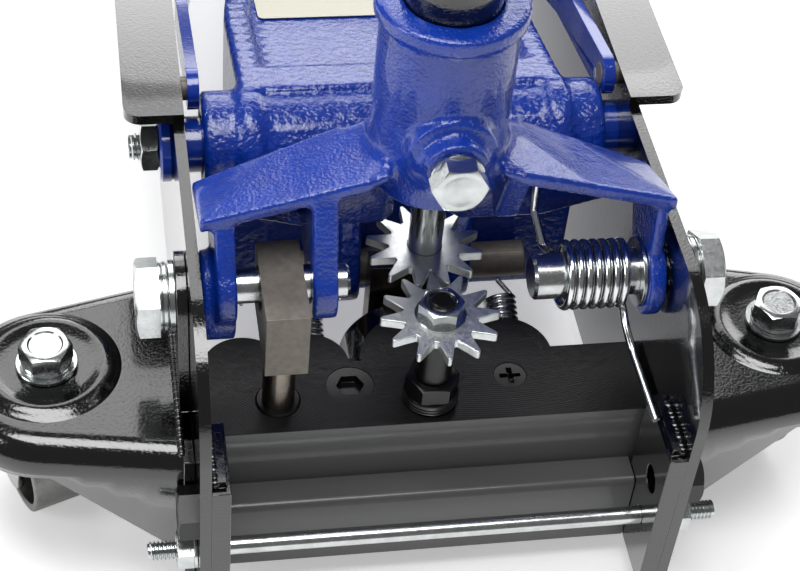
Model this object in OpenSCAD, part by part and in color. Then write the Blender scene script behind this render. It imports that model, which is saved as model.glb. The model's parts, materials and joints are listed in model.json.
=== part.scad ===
// Low profile trolley jack, handle upright, arm lowered, standing on its wheels
// X across, Y towards the front, Z up, centred over its own outline on the floor

/* [Frame] */
// Length from the rear edge of the side plates to the front of the wheels
frame_len = 708; // [600:1:820]
// Clear width between the two side plates
plate_gap = 188; // [160:1:220]
// Thickness of a side plate
plate_t = 4.5; // [3:0.1:7]
// Height of the side plates' lower edge above the floor
plate_low = 12; // [8:0.5:20]
// Height of the side plates' top edge beside the handle
plate_h = 155; // [140:1:175]
// Height of the out-turned flange's top face
flange_h = 160; // [145:1:180]
// Width of the out-turned flange beyond its plate
flange_w = 20; // [12:1:30]
// Distance of the flange's rear end from the plates' rear edge
flange_v = 144; // [130:1:170]
// Radius of the flange's outer rear corner
flange_round = 7; // [2:0.5:12]
// Distance from the rear at which the top edge starts to slope down
slope_v = 262; // [220:1:320]
// Distance from the rear at which the slope ends
slope_end_v = 600; // [540:1:640]
// Height of the top edge where the slope ends
slope_low = 78; // [60:1:100]
// Radius of the plates' upper rear corner
corner_r = 47; // [20:1:60]
// Radius of the plates' nose round the front axle
nose_r = 26; // [18:1:30]
// Thickness of the bars welded inside the plates' rear edges
bar_t = 7.5; // [5:0.5:10]
// Depth of those bars from rear to front
bar_depth = 36; // [10:1:38]
// Height of those bars' top face
bar_top = 93; // [85:1:110]
// Height of the weld bead on top of a bar
weld_h = 3; // [1:0.5:5]
// Diameter of the rear tie rod
tie_d = 8; // [6:0.5:12]
// Distance of the tie rod from the plates' rear edge
tie_v = 15; // [10:1:20]
// Height of the tie rod
tie_z = 41; // [35:1:60]
// Length of the tie rod
tie_len = 237; // [220:1:260]
// Depth of the plate that joins the side plates near the front
bridge_depth = 46; // [30:1:60]
// Thickness of that plate
bridge_t = 8; // [5:0.5:12]
// Distance of that plate's rear edge from the rear
bridge_v = 552; // [520:1:590]

/* [Front wheels] */
// Diameter of a front wheel
wheel_d = 64; // [50:1:80]
// Width of a front wheel
wheel_w = 30; // [20:1:40]
// Diameter of the front axle
axle_d = 20; // [14:1:26]
// Width across flats of an axle nut
axle_nut_af = 30; // [24:1:36]
// Thickness of an axle nut
axle_nut_h = 10; // [8:0.5:18]
// Depth of the dished face of a wheel
wheel_dish = 3; // [1:0.5:6]
// Diameter of a wheel's hub
wheel_hub_d = 34; // [28:1:44]
// Diameter of the inside of a wheel's rim
wheel_rim_d = 52; // [44:1:58]

/* [Wings and casters] */
// Height of a wing's top face
wing_top = 84; // [75:1:95]
// Thickness of a wing's steel
wing_t = 4.5; // [3:0.1:7]
// Distance of a wing's rear end from the plates' rear edge
wing_v = 24; // [20:1:40]
// Distance of a wing's front end from the plates' rear edge
wing_end_v = 132; // [120:1:150]
// Radius of a wing's outer end
wing_r = 38; // [30:1:42]
// Distance of a caster's swivel from the middle of the jack
caster_x = 154.5; // [150:0.5:165]
// Distance of a caster's swivel from the plates' rear edge
caster_v = 79.5; // [75:0.5:85]
// Height of a wing's skirt above the floor at the caster
skirt_z = 59; // [56:1:62]
// Height of the ring pressed up round a caster bolt
press_up = 1.5; // [0.5:0.1:3]
// Diameter of a caster's roller
roller_d = 48; // [40:1:50]
// Width of a caster's roller
roller_w = 30; // [20:1:34]
// Wall of the hollow roller
roller_wall = 3.5; // [2:0.5:8]
// Distance from a caster's swivel to its axle
trail = 8; // [4:1:10]
// Turn of both casters at rest, away from trailing straight back
caster_turn = 201; // [0:1:359]
// Thickness of a caster fork's steel
fork_t = 3; // [2:0.5:5]
// Height of a caster fork's crown
crown_z = 48.6; // [48.5:0.1:50]
// Diameter of a caster fork's crown
crown_d = 42; // [36:1:48]
// Diameter of a caster's axle
roller_axle_d = 9; // [6:0.5:12]
// Diameter of the fixed race above a caster fork
race_d = 38; // [30:1:44]

/* [Power unit] */
// Height of the power unit's machined top
unit_top = 80; // [70:1:90]
// Height of the power unit's underside
unit_low = 12; // [10:1:18]
// Distance of the upper block's rear face from the plates' rear edge
unit_v = 40; // [38:1:50]
// Distance of the upper block's front face
unit_front_v = 93; // [85:1:100]
// Diameter of the rounded lobes along the block's front
lobe_d = 34; // [28:1:40]
// Gap at each side between the block and its plate
unit_side = 2; // [1:0.5:8]
// Distance of the lower band's rear face from the plates' rear edge
band_v = 27; // [24:0.5:34]
// Height of the lower band's top
band_top = 49; // [40:1:56]
// Diameter of the ram cylinder
cylinder_d = 58; // [50:1:60]
// Distance of the ram cylinder's front end
cylinder_v = 112; // [105:1:116]
// Height of the ram's axis
ram_z = 48; // [46:0.5:49]
// Diameter of the ram
ram_d = 28; // [22:1:36]
// Width of the pad on the ram's end
pad_w = 32; // [26:1:38]
// Thickness of the pad on the ram's end
pad_t = 11; // [6:0.5:11]
// Height of the pad on the ram's end
pad_h = 34; // [28:1:40]
// Distance of the pump plunger from the middle of the jack
pump_x = 62.5; // [58:0.5:64]
// Distance of the pump plunger from the plates' rear edge
pump_v = 57; // [50:1:60]
// Diameter of the pump plunger
plunger_d = 13.5; // [10:0.5:18]
// Width of the pump block
block_w = 17; // [12:0.5:22]
// Depth of the pump block
block_depth = 43; // [36:1:50]
// Height of the pump block
block_h = 31; // [28:1:36]
// Height of the pump block's underside with the handle upright
block_z = 118; // [110:1:120]
// Distance of the filler plug from the middle, to the left
plug_x = 32; // [25:1:36]
// Diameter of the filler plug
plug_d = 20; // [14:1:24]
// Distance of the safety screw from the middle, to the right
screw_x = 35.5; // [30:0.5:42]
// Diameter of the safety screw
screw_d = 14; // [10:0.5:18]
// Distance of the plug and the screw from the plates' rear edge
plug_v = 63; // [55:1:68]
// Diameter of the release valve's thread
gland_d = 23; // [18:0.5:24]
// Width across flats of the release valve's hexagon
gland_af = 19.5; // [15:0.5:19.5]
// Height of the release valve's hexagon above the block
gland_h = 14; // [8:0.5:20]

/* [Release gears] */
// Number of teeth on each release gear
gear_teeth = 12; // [10:1:16]
// Distance between the two gears' centres
gear_gap = 40; // [34:1:48]
// Distance from a gear's centre to its tooth tips
gear_tip_r = 24; // [22:0.1:24.2]
// Distance from a gear's centre to its tooth roots
gear_root_r = 15; // [12:0.1:20]
// Thickness of a gear
gear_t = 4; // [2.5:0.1:6]
// Width of a tooth near its tip
tooth_tip_w = 2.2; // [0.5:0.1:2.4]
// Width of a tooth halfway up
tooth_mid_w = 3.6; // [2:0.1:3.8]
// Width of a tooth at its root
tooth_root_w = 6.4; // [5:0.1:6.6]
// Diameter of the release valve's stud
stud_d = 10; // [8:0.5:12]
// Diameter of the release rod
rod_d = 14; // [12:0.5:18]

/* [Handle yoke] */
// Distance of the handle's pivot from the plates' rear edge
pivot_v = 74; // [70:1:80]
// Height of the handle's pivot
pivot_z = 126.5; // [120:0.5:135]
// Diameter of the pivot bolts' shanks
bolt_d = 19; // [14:0.5:24]
// Width across flats of a pivot bolt's head
bolt_af = 28.6; // [24:0.1:34]
// Height of a pivot bolt's head
bolt_head_h = 10.5; // [8:0.5:14]
// Outer diameter of the socket tube
socket_d = 53; // [45:1:60]
// Inner diameter of the socket tube
socket_bore_d = 37; // [30:0.5:44]
// Height of the socket tube's rim
socket_top = 254; // [235:1:280]
// Diameter of the rim bead
rim_d = 58; // [53:1:64]
// Height of the rim bead
rim_h = 7; // [4:0.5:12]
// Height of the roof's rear edge at the yoke's two ends
roof_end_z = 171; // [166:1:176]
// Height of the roof's front edge at the yoke's two ends
roof_end_front_z = 154; // [150:1:158]
// Height of the roof's front edge at the tube
roof_z = 187; // [182:1:192]
// Height of the roof's rear edge at the tube
roof_back_z = 190; // [185:1:195]
// Thickness of the roof
roof_t = 5.5; // [4.5:0.1:6.5]
// Distance of the roof's rear edge from the plates' rear edge
roof_v = 68; // [62:1:74]
// Distance of the roof's front edge
roof_front_v = 110; // [106:1:116]
// Thickness of the yoke's front wall
hood_t = 6; // [4:0.5:6.5]
// Height of the front wall's lower edge
hood_low = 132; // [130.5:0.5:140]
// Radius of a pivot eye
eye_r = 18; // [15:0.5:20]
// Thickness of the left arm of the yoke
arm_wall = 8; // [7:0.5:10]
// Thickness of the thin boss between an eye and its plate
eye_boss = 5; // [2:0.5:6]
// Distance of the inner lug's outer face from the middle of the jack
lug_x = 51; // [48:0.5:52.5]
// Thickness of the inner lug
lug_t = 9.8; // [7:0.1:14]
// Diameter of the drive pin
drive_d = 14; // [10:0.5:16]
// Distance of the drive pin behind the pivot
drive_back = 8; // [6:0.5:10]
// Height of the drive pin above the pivot
drive_up = 12; // [10:0.5:14]
// Radius of the bosses round the drive pin
drive_r = 14.5; // [12:0.5:16]
// Diameter of a split pin
split_d = 3; // [2:0.5:4]
// Diameter of the boss for the clamp bolt
clamp_boss_d = 26; // [20:1:32]
// Height of the clamp bolt
clamp_z = 200; // [192:1:215]
// Diameter of the clamp bolt and of the caster bolts
m12_d = 12; // [10:0.5:14]
// Width across flats of their heads
m12_af = 19; // [16:0.5:22]
// Height of their heads
m12_head = 8; // [6:0.5:10]

/* [Handle spring] */
// Diameter of the handle spring's wire
wire_d = 3.4; // [2.5:0.1:3.6]
// Radius of the handle spring's middle line
coil_r = 12.8; // [12:0.1:14]
// Number of curls of the handle spring
coil_turns = 7; // [5:1:7]
// Distance from curl to curl
coil_pitch = 4.1; // [4:0.05:4.2]
// Distance of the first curl from the middle of the jack
coil_x = 52.5; // [51:0.5:52.5]

/* [Handle] */
// Height of the handle's top end
handle_top = 1296; // [1000:1:1400]
// Height at which the two handle tubes overlap fully
joint_z = 700; // [600:1:800]
// Length of that overlap
joint_len = 90; // [60:1:120]
// Diameter of the upper handle tube
upper_d = 32; // [26:0.5:34]
// Wall of a handle tube
tube_wall = 2; // [1.5:0.1:3]
// Length of the grip
grip_len = 135; // [100:1:160]
// Diameter of the grip
grip_d = 38; // [35:0.5:44]
// Length of the foam sleeve
foam_len = 220; // [120:1:300]
// Diameter of the foam sleeve
foam_d = 54; // [44:1:64]
// Height of the foam sleeve's lower end
foam_z = 400; // [300:1:450]

/* [Lift arm] */
// Distance of the arm's pivot from the plates' rear edge
arm_v = 160; // [155:1:170]
// Height of the arm's pivot
arm_z = 130; // [120:1:134]
// Length of the arm from pivot to saddle pin
arm_len = 432; // [380:1:440]
// Slope of the lowered arm
arm_slope = 11; // [8:0.5:14]
// Half width of the arm at the pivot
arm_half = 70; // [60:1:74]
// Half width of the arm at its nose
nose_half = 38; // [30:1:42]
// Wall of the arm
arm_t = 8; // [5:0.5:12]
// Diameter of the arm's cross boss
boss_d = 45; // [38:1:50]
// Half length of the arm's cross boss
boss_half = 86; // [82:0.5:86]
// Thickness of the collar on the arm's shaft outside the left plate
collar_t = 5.5; // [3:0.5:8]
// Diameter of the arm's shaft
shaft_d = 24; // [18:1:30]
// Height of the arm's raised side rims
rim_up = 5; // [2:0.5:8]
// Half height of the arm at its nose
nose_up = 14; // [11:0.5:16]
// Height of the arm's top above its pivot line at the rear
back_up = 26; // [20:1:27]
// Depth of the arm below its pivot line at the rear
back_down = 38; // [28:1:44]
// Thickness of the arm's rear web
web_t = 6; // [4:0.5:8]
// Height of the rear web's lower edge
web_low = 50; // [46:1:60]
// Half width of the rear web
web_half = 78; // [60:1:80]
// Length of the crank from the arm's pivot to the ram's pin
crank_len = 60; // [50:1:62]
// Angle of the lowered crank behind the vertical
crank_angle = 22; // [15:1:30]
// Diameter of the crank pin
crank_pin_d = 16; // [12:0.5:18]
// Half length of the crank pin
crank_pin_half = 56; // [50:1:60]

/* [Links and saddle] */
// Thickness of a link bar
link_t = 5; // [4:0.5:6]
// Height of a link bar
link_h = 18; // [14:1:20]
// Distance of the link pivots in front of the arm's pivots
link_v = 8; // [4:0.5:12]
// Distance of the link pivots above the arm's pivots
link_up = 24; // [20:0.5:26]
// Diameter of the link studs
link_pin_d = 10; // [8:0.5:12]
// Thickness of the saddle yoke's cheeks
cheek_t = 8; // [5:0.5:10]
// Distance of the saddle's centre in front of the saddle pin
saddle_v = 32; // [30:0.5:34]
// Diameter of the saddle pin
saddle_pin_d = 16; // [12:0.5:18]
// Height of the saddle yoke's seat
seat_z = 63; // [61:0.5:64]
// Diameter of the saddle
saddle_d = 74; // [60:1:76]
// Height of the saddle's rim
saddle_rim = 12; // [8:0.5:16]
// Thickness of the saddle's floor
saddle_floor = 8; // [6:0.5:10]
// Diameter of the saddle's stem
stem_d = 20; // [14:0.5:22]
// Thickness of the saddle's rubber pad above its floor
pad_up = 14; // [9:0.5:18]

/* [Return springs] */
// Diameter of a return spring's wire
return_wire_d = 2.4; // [1.8:0.1:3]
// Radius of a return spring's middle line
return_r = 6.2; // [5:0.1:6.8]
// Number of curls of a return spring
return_turns = 18; // [10:1:20]
// Distance of the return springs from the middle of the jack
return_x = 43.5; // [42:0.5:44]
// Diameter of a return spring's anchor pin
anchor_d = 8; // [6:0.5:10]

/* [Fits] */
// Running clearance all round a turning or sliding part
run = 0.05; // [0.02:0.01:0.1]
// Gap between neighbouring faces that don't touch
gap = 0.3; // [0.2:0.05:0.5]
// Overrun of a cut
over = 1; // [0.5:0.1:2]

/* [Hidden] */
$fn = 40;

black = [0.03, 0.03, 0.03];
blue = [0.06, 0.2, 0.6];
zinc = [0.75, 0.75, 0.73];
steel = [0.4, 0.38, 0.36];
rubber = [0.05, 0.05, 0.05];

in_x = plate_gap / 2;
out_x = in_x + plate_t;
wing_x = out_x + wing_t;
axle_z = wheel_d / 2;
axle_v = frame_len - wheel_d / 2;
roller_z = roller_d / 2;
// Centres of the two gears, either side of the pivot line
low_gear_v = pivot_v - gear_gap / 2;
up_gear_v = pivot_v + gear_gap / 2;
// Ends of the arm and of its crank, as distance from the rear and height
arm_tip_v = arm_v + arm_len * cos(arm_slope);
arm_tip_z = arm_z - arm_len * sin(arm_slope);
crank_v = arm_v - crank_len * sin(crank_angle);
crank_z = arm_z - crank_len * cos(crank_angle);
stem_v = arm_tip_v + saddle_v;
drive_v = pivot_v - drive_back;
drive_z = pivot_z + drive_up;
washer_t = bolt_head_h / 4;
m12_washer = m12_head / 4;
cheek_x = nose_half + gap;
cheek_out = cheek_x + cheek_t;
link_x = in_x - gap * 8 - link_t;
link_nose_x = cheek_out + gap;
handle_d = socket_bore_d - 2 * run;
eye_x = in_x - over;
wheel_x = in_x - gap;
anchor_v = unit_v + bar_depth * 0.6;
anchor_z = unit_low + anchor_d * 2.75;

// Share of a circle's radius at which straight sides run into it
strap_share = 0.99;

module in_frame() {
  translate([0, -frame_len / 2, 0]) children();
}

// Solid bars and hexagons along an axis, from a start to an end
module bar_x(d, a, b, v, z) {
  translate([a, v, z]) rotate([0, 90, 0]) cylinder(d = d, h = b - a);
}
module bar_y(d, a, b, x, z) {
  translate([x, a, z]) rotate([-90, 0, 0]) cylinder(d = d, h = b - a);
}
module bar_z(d, a, b, x, v) {
  translate([x, v, a]) cylinder(d = d, h = b - a);
}
module hex_x(af, a, b, v, z) {
  translate([a, v, z]) rotate([0, 90, 0]) cylinder(d = af / cos(30), h = b - a, $fn = 6);
}
module hex_y(af, a, b, x, z) {
  translate([x, a, z]) rotate([-90, 0, 0]) cylinder(d = af / cos(30), h = b - a, $fn = 6);
}
module hex_z(af, a, b, x, v) {
  translate([x, v, a]) cylinder(d = af / cos(30), h = b - a, $fn = 6);
}
// A flat outline of (distance from rear, height) made solid across the jack
module slab_x(a, b) {
  translate([a, 0, 0]) rotate([90, 0, 90]) linear_extrude(b - a) children();
}
// A flat outline of (across, distance from rear) made solid upwards
module slab_z(a, b) {
  translate([0, 0, a]) linear_extrude(b - a) children();
}
module box(x, v, z) {
  translate([x[0], v[0], z[0]]) cube([x[1] - x[0], v[1] - v[0], z[1] - z[0]]);
}
module disc_at(r, v, z) {
  translate([v, z]) circle(r = r);
}
// Outline that wraps two circles with straight sides
module strap(r1, v1, z1, r2, v2, z2) {
  dist = norm([v2 - v1, z2 - z1]);
  lean = acos((r1 - r2) / dist);
  way = atan2(z2 - z1, v2 - v1);
  disc_at(r1, v1, z1);
  disc_at(r2, v2, z2);
  a = r1 * strap_share;
  b = r2 * strap_share;
  polygon([[v1 + a * cos(way + lean), z1 + a * sin(way + lean)],
    [v2 + b * cos(way + lean), z2 + b * sin(way + lean)],
    [v2 + b * cos(way - lean), z2 + b * sin(way - lean)],
    [v1 + a * cos(way - lean), z1 + a * sin(way - lean)]]);
}

// Wire bent along a list of points, six-sided, one unbroken tube
function unit(p) = p / norm(p);
function ring(c, t, n, r) = [for (k = [0:5])
  c + r * (n * cos(60 * k) + cross(t, n) * sin(60 * k))];
function tangent_at(p, i) = i == 0 ? unit(p[1] - p[0])
  : i == len(p) - 1 ? unit(p[i] - p[i - 1]) : unit(unit(p[i + 1] - p[i]) + unit(p[i] - p[i - 1]));
function flat_to(n, t) = unit(n - t * (n * t));
function carry(p, n, i) = i == len(p) ? [] :
  let (m = flat_to(n, tangent_at(p, i))) concat([m], carry(p, m, i + 1));
module wire(path, d, first) {
  n = carry(path, first, 0);
  rings = [for (i = [0:len(path) - 1]) each ring(path[i], tangent_at(path, i), n[i], d / 2)];
  last = 6 * (len(path) - 1);
  sides = [for (i = [0:len(path) - 2], k = [0:5]) each
    [[6 * i + k, 6 * i + (k + 1) % 6, 6 * i + 6 + k],
     [6 * i + (k + 1) % 6, 6 * i + 6 + (k + 1) % 6, 6 * i + 6 + k]]];
  caps = [for (k = [1:4]) each [[0, k + 1, k], [last, last + k, last + k + 1]]];
  polyhedron(rings, concat(sides, caps));
}
// Least distance between the wire's own curls, taken on the points of its middle line
function least_gap(p, d, skip) = min([for (i = [0:len(p) - 1 - skip], j = [i + skip:len(p) - 1])
  norm(p[i] - p[j])]) - d;

// Side plates
plate_top = [[flange_v, flange_h], [slope_v, flange_h], [slope_end_v, slope_low],
  [axle_v, axle_z + nose_r]];
module plate_outline() {
  polygon(concat([[0, plate_low], [0, plate_h - corner_r], [corner_r, plate_h],
    [flange_v, plate_h]], plate_top,
    [[axle_v, axle_z - nose_r], [axle_v - 2 * nose_r, plate_low]]));
  disc_at(corner_r, corner_r, plate_h - corner_r);
  disc_at(nose_r, axle_v, axle_z);
}
module flange_band() {
  polygon(concat(plate_top, [for (i = [3:-1:0]) plate_top[i] - [0, plate_t]]));
}
module plate() {
  tip_x = out_x + flange_w;
  difference() {
    union() {
      slab_x(in_x, out_x) plate_outline();
      slab_x(in_x, tip_x) flange_band();
    }
    slab_z(flange_h - 2 * plate_t, flange_h + over) difference() {
      translate([tip_x - flange_round, flange_v - over])
        square([flange_round + over, flange_round + over]);
      translate([tip_x - flange_round, flange_v + flange_round]) circle(r = flange_round);
    }
    bar_x(bolt_d + 2 * run, in_x - over, out_x + over, pivot_v, pivot_z);
    bar_x(shaft_d + 2 * run, in_x - over, out_x + over, arm_v, arm_z);
    bar_x(axle_d, in_x - over, out_x + over, axle_v, axle_z);
    bar_x(tie_d, in_x - over, out_x + over, tie_v, tie_z);
    bar_x(m12_d, in_x - over, out_x + over, unit_bolt_v, unit_bolt_z);
    bar_x(m12_d, in_x - over, out_x + over, bar_bolt_v, bar_bolt_z);
    bar_x(link_pin_d, in_x - over, out_x + over, arm_v + link_v, arm_z + link_up);
  }
}
module side_plate_right() {
  color(black) in_frame() plate();
}
module side_plate_left() {
  color(black) in_frame() mirror([1, 0, 0]) plate();
}
module back_bar() {
  bead = bar_t * 0.8;
  difference() {
    union() {
      box([in_x - bar_t, in_x], [0, bar_depth], [unit_low, bar_top]);
      box([in_x - bead, in_x], [bar_depth * 0.1, bar_depth * 0.8], [bar_top, bar_top + weld_h]);
    }
    bar_x(tie_d, in_x - bar_t - over, in_x + over, tie_v, tie_z);
    bar_x(m12_d, in_x - bar_t - over, in_x + over, bar_bolt_v, bar_bolt_z);
  }
}
module back_bar_right() {
  color(black) in_frame() back_bar();
}
module back_bar_left() {
  color(black) in_frame() mirror([1, 0, 0]) back_bar();
}
module tie_rod() {
  color(zinc) in_frame() bar_x(tie_d, -tie_len / 2, tie_len / 2, tie_v, tie_z);
}
module both_sides() {
  children();
  mirror([1, 0, 0]) children();
}
tie_nut_af = tie_d * 1.75;
tie_nut_h = tie_d * 0.85;
module tie_nuts() {
  color(zinc) in_frame() both_sides() difference() {
    union() {
      bar_x(tie_nut_af * 1.15, out_x, out_x + tie_d / 5, tie_v, tie_z);
      hex_x(tie_nut_af, out_x + tie_d / 5, out_x + tie_d / 5 + tie_nut_h, tie_v, tie_z);
    }
    bar_x(tie_d, out_x - over, out_x + tie_nut_h * 2, tie_v, tie_z);
  }
}
module front_axle() {
  half = out_x + axle_nut_h + over;
  color(steel) in_frame() bar_x(axle_d, -half, half, axle_v, axle_z);
}
module axle_nuts() {
  color(zinc) in_frame() both_sides() difference() {
    hex_x(axle_nut_af, out_x, out_x + axle_nut_h, axle_v, axle_z);
    bar_x(axle_d, out_x - over, out_x + axle_nut_h + over, axle_v, axle_z);
  }
}
module front_bridge() {
  color(black) in_frame()
    box([-in_x, in_x], [bridge_v, bridge_v + bridge_depth], [plate_low, plate_low + bridge_t]);
}

// Wings that carry the casters
function touch(p, c, r, s) = let (d = p - c, w = atan2(d[1], d[0]) + s * acos(r / norm(d)))
  c + r * [cos(w), sin(w)];
module wing_plan(inset) {
  c = [caster_x, caster_v];
  r = wing_r - inset;
  a = [out_x, wing_v + inset * 1.7];
  b = [out_x, wing_end_v - inset];
  polygon([a, touch(a, c, r, 1), c, touch(b, c, r, -1), b]);
  translate(c) circle(r = r);
}
module wing() {
  far = caster_x + wing_r + over;
  difference() {
    union() {
      difference() {
        slab_z(plate_low, wing_top) wing_plan(0);
        slab_z(plate_low - over, wing_top - wing_t) wing_plan(wing_t);
        translate([0, wing_end_v + over, 0]) rotate([90, 0, 0])
          linear_extrude(wing_end_v - wing_v + 2 * over)
            polygon([[wing_x, plate_low - over], [wing_x, skirt_z * 0.42], [caster_x, skirt_z],
              [far, skirt_z], [far, plate_low - over]]);
      }
      slab_x(out_x, wing_x) wing_flange();
      bar_z(wing_r * 1.64, wing_top - over, wing_top + press_up, caster_x, caster_v);
    }
    bar_z(m12_d, skirt_z, wing_top + press_up + over, caster_x, caster_v);
    bar_x(bolt_d + 2 * run, out_x - over, wing_x + over, pivot_v, pivot_z);
    bar_x(m12_d, out_x - over, wing_x + over, unit_bolt_v, unit_bolt_z);
  }
}
module wing_flange() {
  translate([wing_v, plate_low]) square([wing_end_v - wing_v, wing_top - plate_low]);
  polygon([[pivot_v - eye_r * 1.3, wing_top - over], [pivot_v - eye_r, pivot_z],
    [pivot_v + eye_r, pivot_z], [pivot_v + eye_r * 1.6, wing_top - over]]);
  disc_at(eye_r, pivot_v, pivot_z);
}
module wing_right() {
  color(black) in_frame() wing();
}
module wing_left() {
  color(black) in_frame() mirror([1, 0, 0]) wing();
}
unit_bolt_v = pump_v + m12_af / 2;
unit_bolt_z = tie_z;
bar_bolt_v = wing_v - m12_af * 0.55;
bar_bolt_z = bar_top - m12_af * 1.4;
module bar_bolts() {
  color(black) in_frame() both_sides() {
    bar_x(m12_d, in_x - bar_t, out_x + m12_head, bar_bolt_v, bar_bolt_z);
    hex_x(m12_af, out_x, out_x + m12_head, bar_bolt_v, bar_bolt_z);
  }
}
module unit_bolts() {
  deep = in_x - unit_side - m12_d * 1.5;
  color(black) in_frame() both_sides() {
    bar_x(m12_d, deep, wing_x + m12_head, unit_bolt_v, unit_bolt_z);
    hex_x(m12_af, wing_x, wing_x + m12_head, unit_bolt_v, unit_bolt_z);
  }
}

// Power unit
spindle_low = unit_top - gland_h * 1.2;
bar_in = in_x - bar_t - gap;
module power_unit() {
  half = in_x - unit_side;
  deep = unit_top - plunger_d * 3.2;
  lobe = lobe_d / 2;
  color(steel) in_frame() difference() {
    union() {
      box([-half, half], [unit_v, unit_front_v - lobe], [unit_low, unit_top]);
      box([-half, half], [unit_v, unit_front_v], [unit_low, unit_top - lobe]);
      box([-bar_in, bar_in], [band_v, unit_v + over], [unit_low, band_top]);
      bar_z(2 * lobe, unit_low, unit_top, -half + lobe, unit_front_v - lobe);
      bar_z(2 * lobe, unit_low, unit_top, -half + 2.6 * lobe, unit_front_v - lobe);
      bar_z(3 * lobe, unit_low, unit_top, 0, unit_front_v - lobe);
      bar_z(2.4 * lobe, unit_low, unit_top, screw_x, unit_front_v - lobe);
      box([screw_x, half], [unit_v + lobe, unit_front_v - lobe * 0.9], [unit_low, unit_top]);
    }
    bar_y(cylinder_d, ram_back_v, unit_front_v + 2 * lobe, 0, ram_z);
    bar_y(ram_d + 2 * run, ram_end_v, unit_front_v, 0, ram_z);
    bar_z(plunger_d + 2 * run, deep, unit_top + over, -pump_x, pump_v);
    bar_z(plug_d, unit_top - m12_head, unit_top + over, -plug_x, plug_v);
    bar_z(screw_d, unit_top - m12_head, unit_top + over, screw_x, plug_v);
    bar_z(gland_d, unit_top - gland_h, unit_top + over, 0, low_gear_v);
    bar_z(stud_d + 2 * run, spindle_low, unit_top, 0, low_gear_v);
    both_sides() {
      box([return_x - return_r * 1.5, return_x + return_r * 1.5],
        [unit_v + bar_t * 2, unit_front_v + 2 * lobe], [unit_low - over, unit_top - lobe]);
      bar_x(m12_d, half - m12_d * 1.5, half + over, unit_bolt_v, unit_bolt_z);
    }
  }
  color(steel) in_frame() both_sides()
    bar_x(anchor_d, return_x - return_r * 1.5 - over, return_x + return_r * 1.5 + over,
      anchor_v, anchor_z);
}
ram_back_v = unit_front_v - lobe_d * 0.45;
ram_end_v = unit_v + 2 * over;
module ram_cylinder() {
  color(steel) in_frame() difference() {
    bar_y(cylinder_d, ram_back_v, cylinder_v, 0, ram_z);
    bar_y(ram_d + 2 * run, ram_back_v - over, cylinder_v + over, 0, ram_z);
  }
}
module filler_plug() {
  color(steel) in_frame() difference() {
    bar_z(plug_d, unit_top - m12_head, unit_top - gap, -plug_x, plug_v);
    hex_z(plug_d / 2, unit_top - m12_head / 2, unit_top + over, -plug_x, plug_v);
  }
}
module safety_screw() {
  slot = screw_d * 0.14;
  long = screw_d * 0.62;
  color(steel) in_frame() difference() {
    bar_z(screw_d, unit_top - m12_head, unit_top - gap, screw_x, plug_v);
    box([screw_x - long / 2, screw_x + long / 2], [plug_v - slot / 2, plug_v + slot / 2],
      [unit_top - m12_head / 2, unit_top + over]);
    box([screw_x - slot / 2, screw_x + slot / 2], [plug_v - long / 2, plug_v + long / 2],
      [unit_top - m12_head / 2, unit_top + over]);
  }
}
gland_ring = gland_h * 0.36;
module valve_gland() {
  color(steel) in_frame() difference() {
    union() {
      bar_z(gland_d, unit_top - gland_h, unit_top + gland_ring, 0, low_gear_v);
      hex_z(gland_af, unit_top + gland_ring, unit_top + gland_h, 0, low_gear_v);
    }
    bar_z(stud_d + 2 * run, unit_top - gland_h - over, unit_top + gland_h + over, 0, low_gear_v);
  }
}
module valve_spindle() {
  shoulder = pivot_z - gear_t / 2;
  color(steel) in_frame() {
    bar_z(stud_d, spindle_low + over, shoulder + gear_t * 4, 0, low_gear_v);
    bar_z(stud_d * 1.5, unit_top + gland_h + gap, shoulder, 0, low_gear_v);
  }
}
// Outline of a gear, with its first tooth turned by an angle
module gear_outline(turn) {
  mid = gear_gap / 2;
  near = gear_tip_r - over;
  circle(r = gear_root_r);
  for (i = [0:gear_teeth - 1]) rotate(turn + i * 360 / gear_teeth)
    polygon([[0, -tooth_root_w / 2], [gear_root_r, -tooth_root_w / 2], [mid, -tooth_mid_w / 2],
      [near, -tooth_tip_w / 2], [gear_tip_r, -tooth_tip_w / 4], [gear_tip_r, tooth_tip_w / 4],
      [near, tooth_tip_w / 2], [mid, tooth_mid_w / 2], [gear_root_r, tooth_root_w / 2],
      [0, tooth_root_w / 2]]);
}
module gear(v, turn, hole) {
  translate([0, v, pivot_z - gear_t / 2]) linear_extrude(gear_t) difference() {
    gear_outline(turn);
    circle(d = hole);
  }
}
module lower_gear() {
  color(zinc) in_frame() gear(low_gear_v, 90, stud_d);
}
module upper_gear() {
  color(zinc) in_frame() gear(up_gear_v, 90 + 180 / gear_teeth, rod_d);
}
module gear_nut() {
  low = pivot_z + gear_t / 2;
  color(zinc) in_frame() difference() {
    union() {
      bar_z(stud_d * 2.1, low, low + over, 0, low_gear_v);
      hex_z(stud_d * 1.6, low, low + stud_d * 0.85, 0, low_gear_v);
    }
    bar_z(stud_d, low - over, low + stud_d, 0, low_gear_v);
  }
}
module pump_plunger() {
  color(zinc) in_frame()
    bar_z(plunger_d, unit_top - plunger_d * 1.8, block_z, -pump_x, pump_v);
}
module pump_block() {
  slot_v = pivot_v - drive_back * 1.4;
  long = drive_d * 1.6;
  high = drive_d * 1.16;
  color(steel) in_frame() difference() {
    box([-pump_x - block_w / 2, -pump_x + block_w / 2],
      [pump_v + over - block_depth / 2, pump_v + over + block_depth / 2],
      [block_z, block_z + block_h]);
    box([-pump_x - block_w, -pump_x + block_w], [slot_v - (long - high) / 2,
      slot_v + (long - high) / 2], [drive_z - high / 2, drive_z + high / 2]);
    bar_x(high, -pump_x - block_w, -pump_x + block_w, slot_v - (long - high) / 2, drive_z);
    bar_x(high, -pump_x - block_w, -pump_x + block_w, slot_v + (long - high) / 2, drive_z);
  }
}

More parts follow.
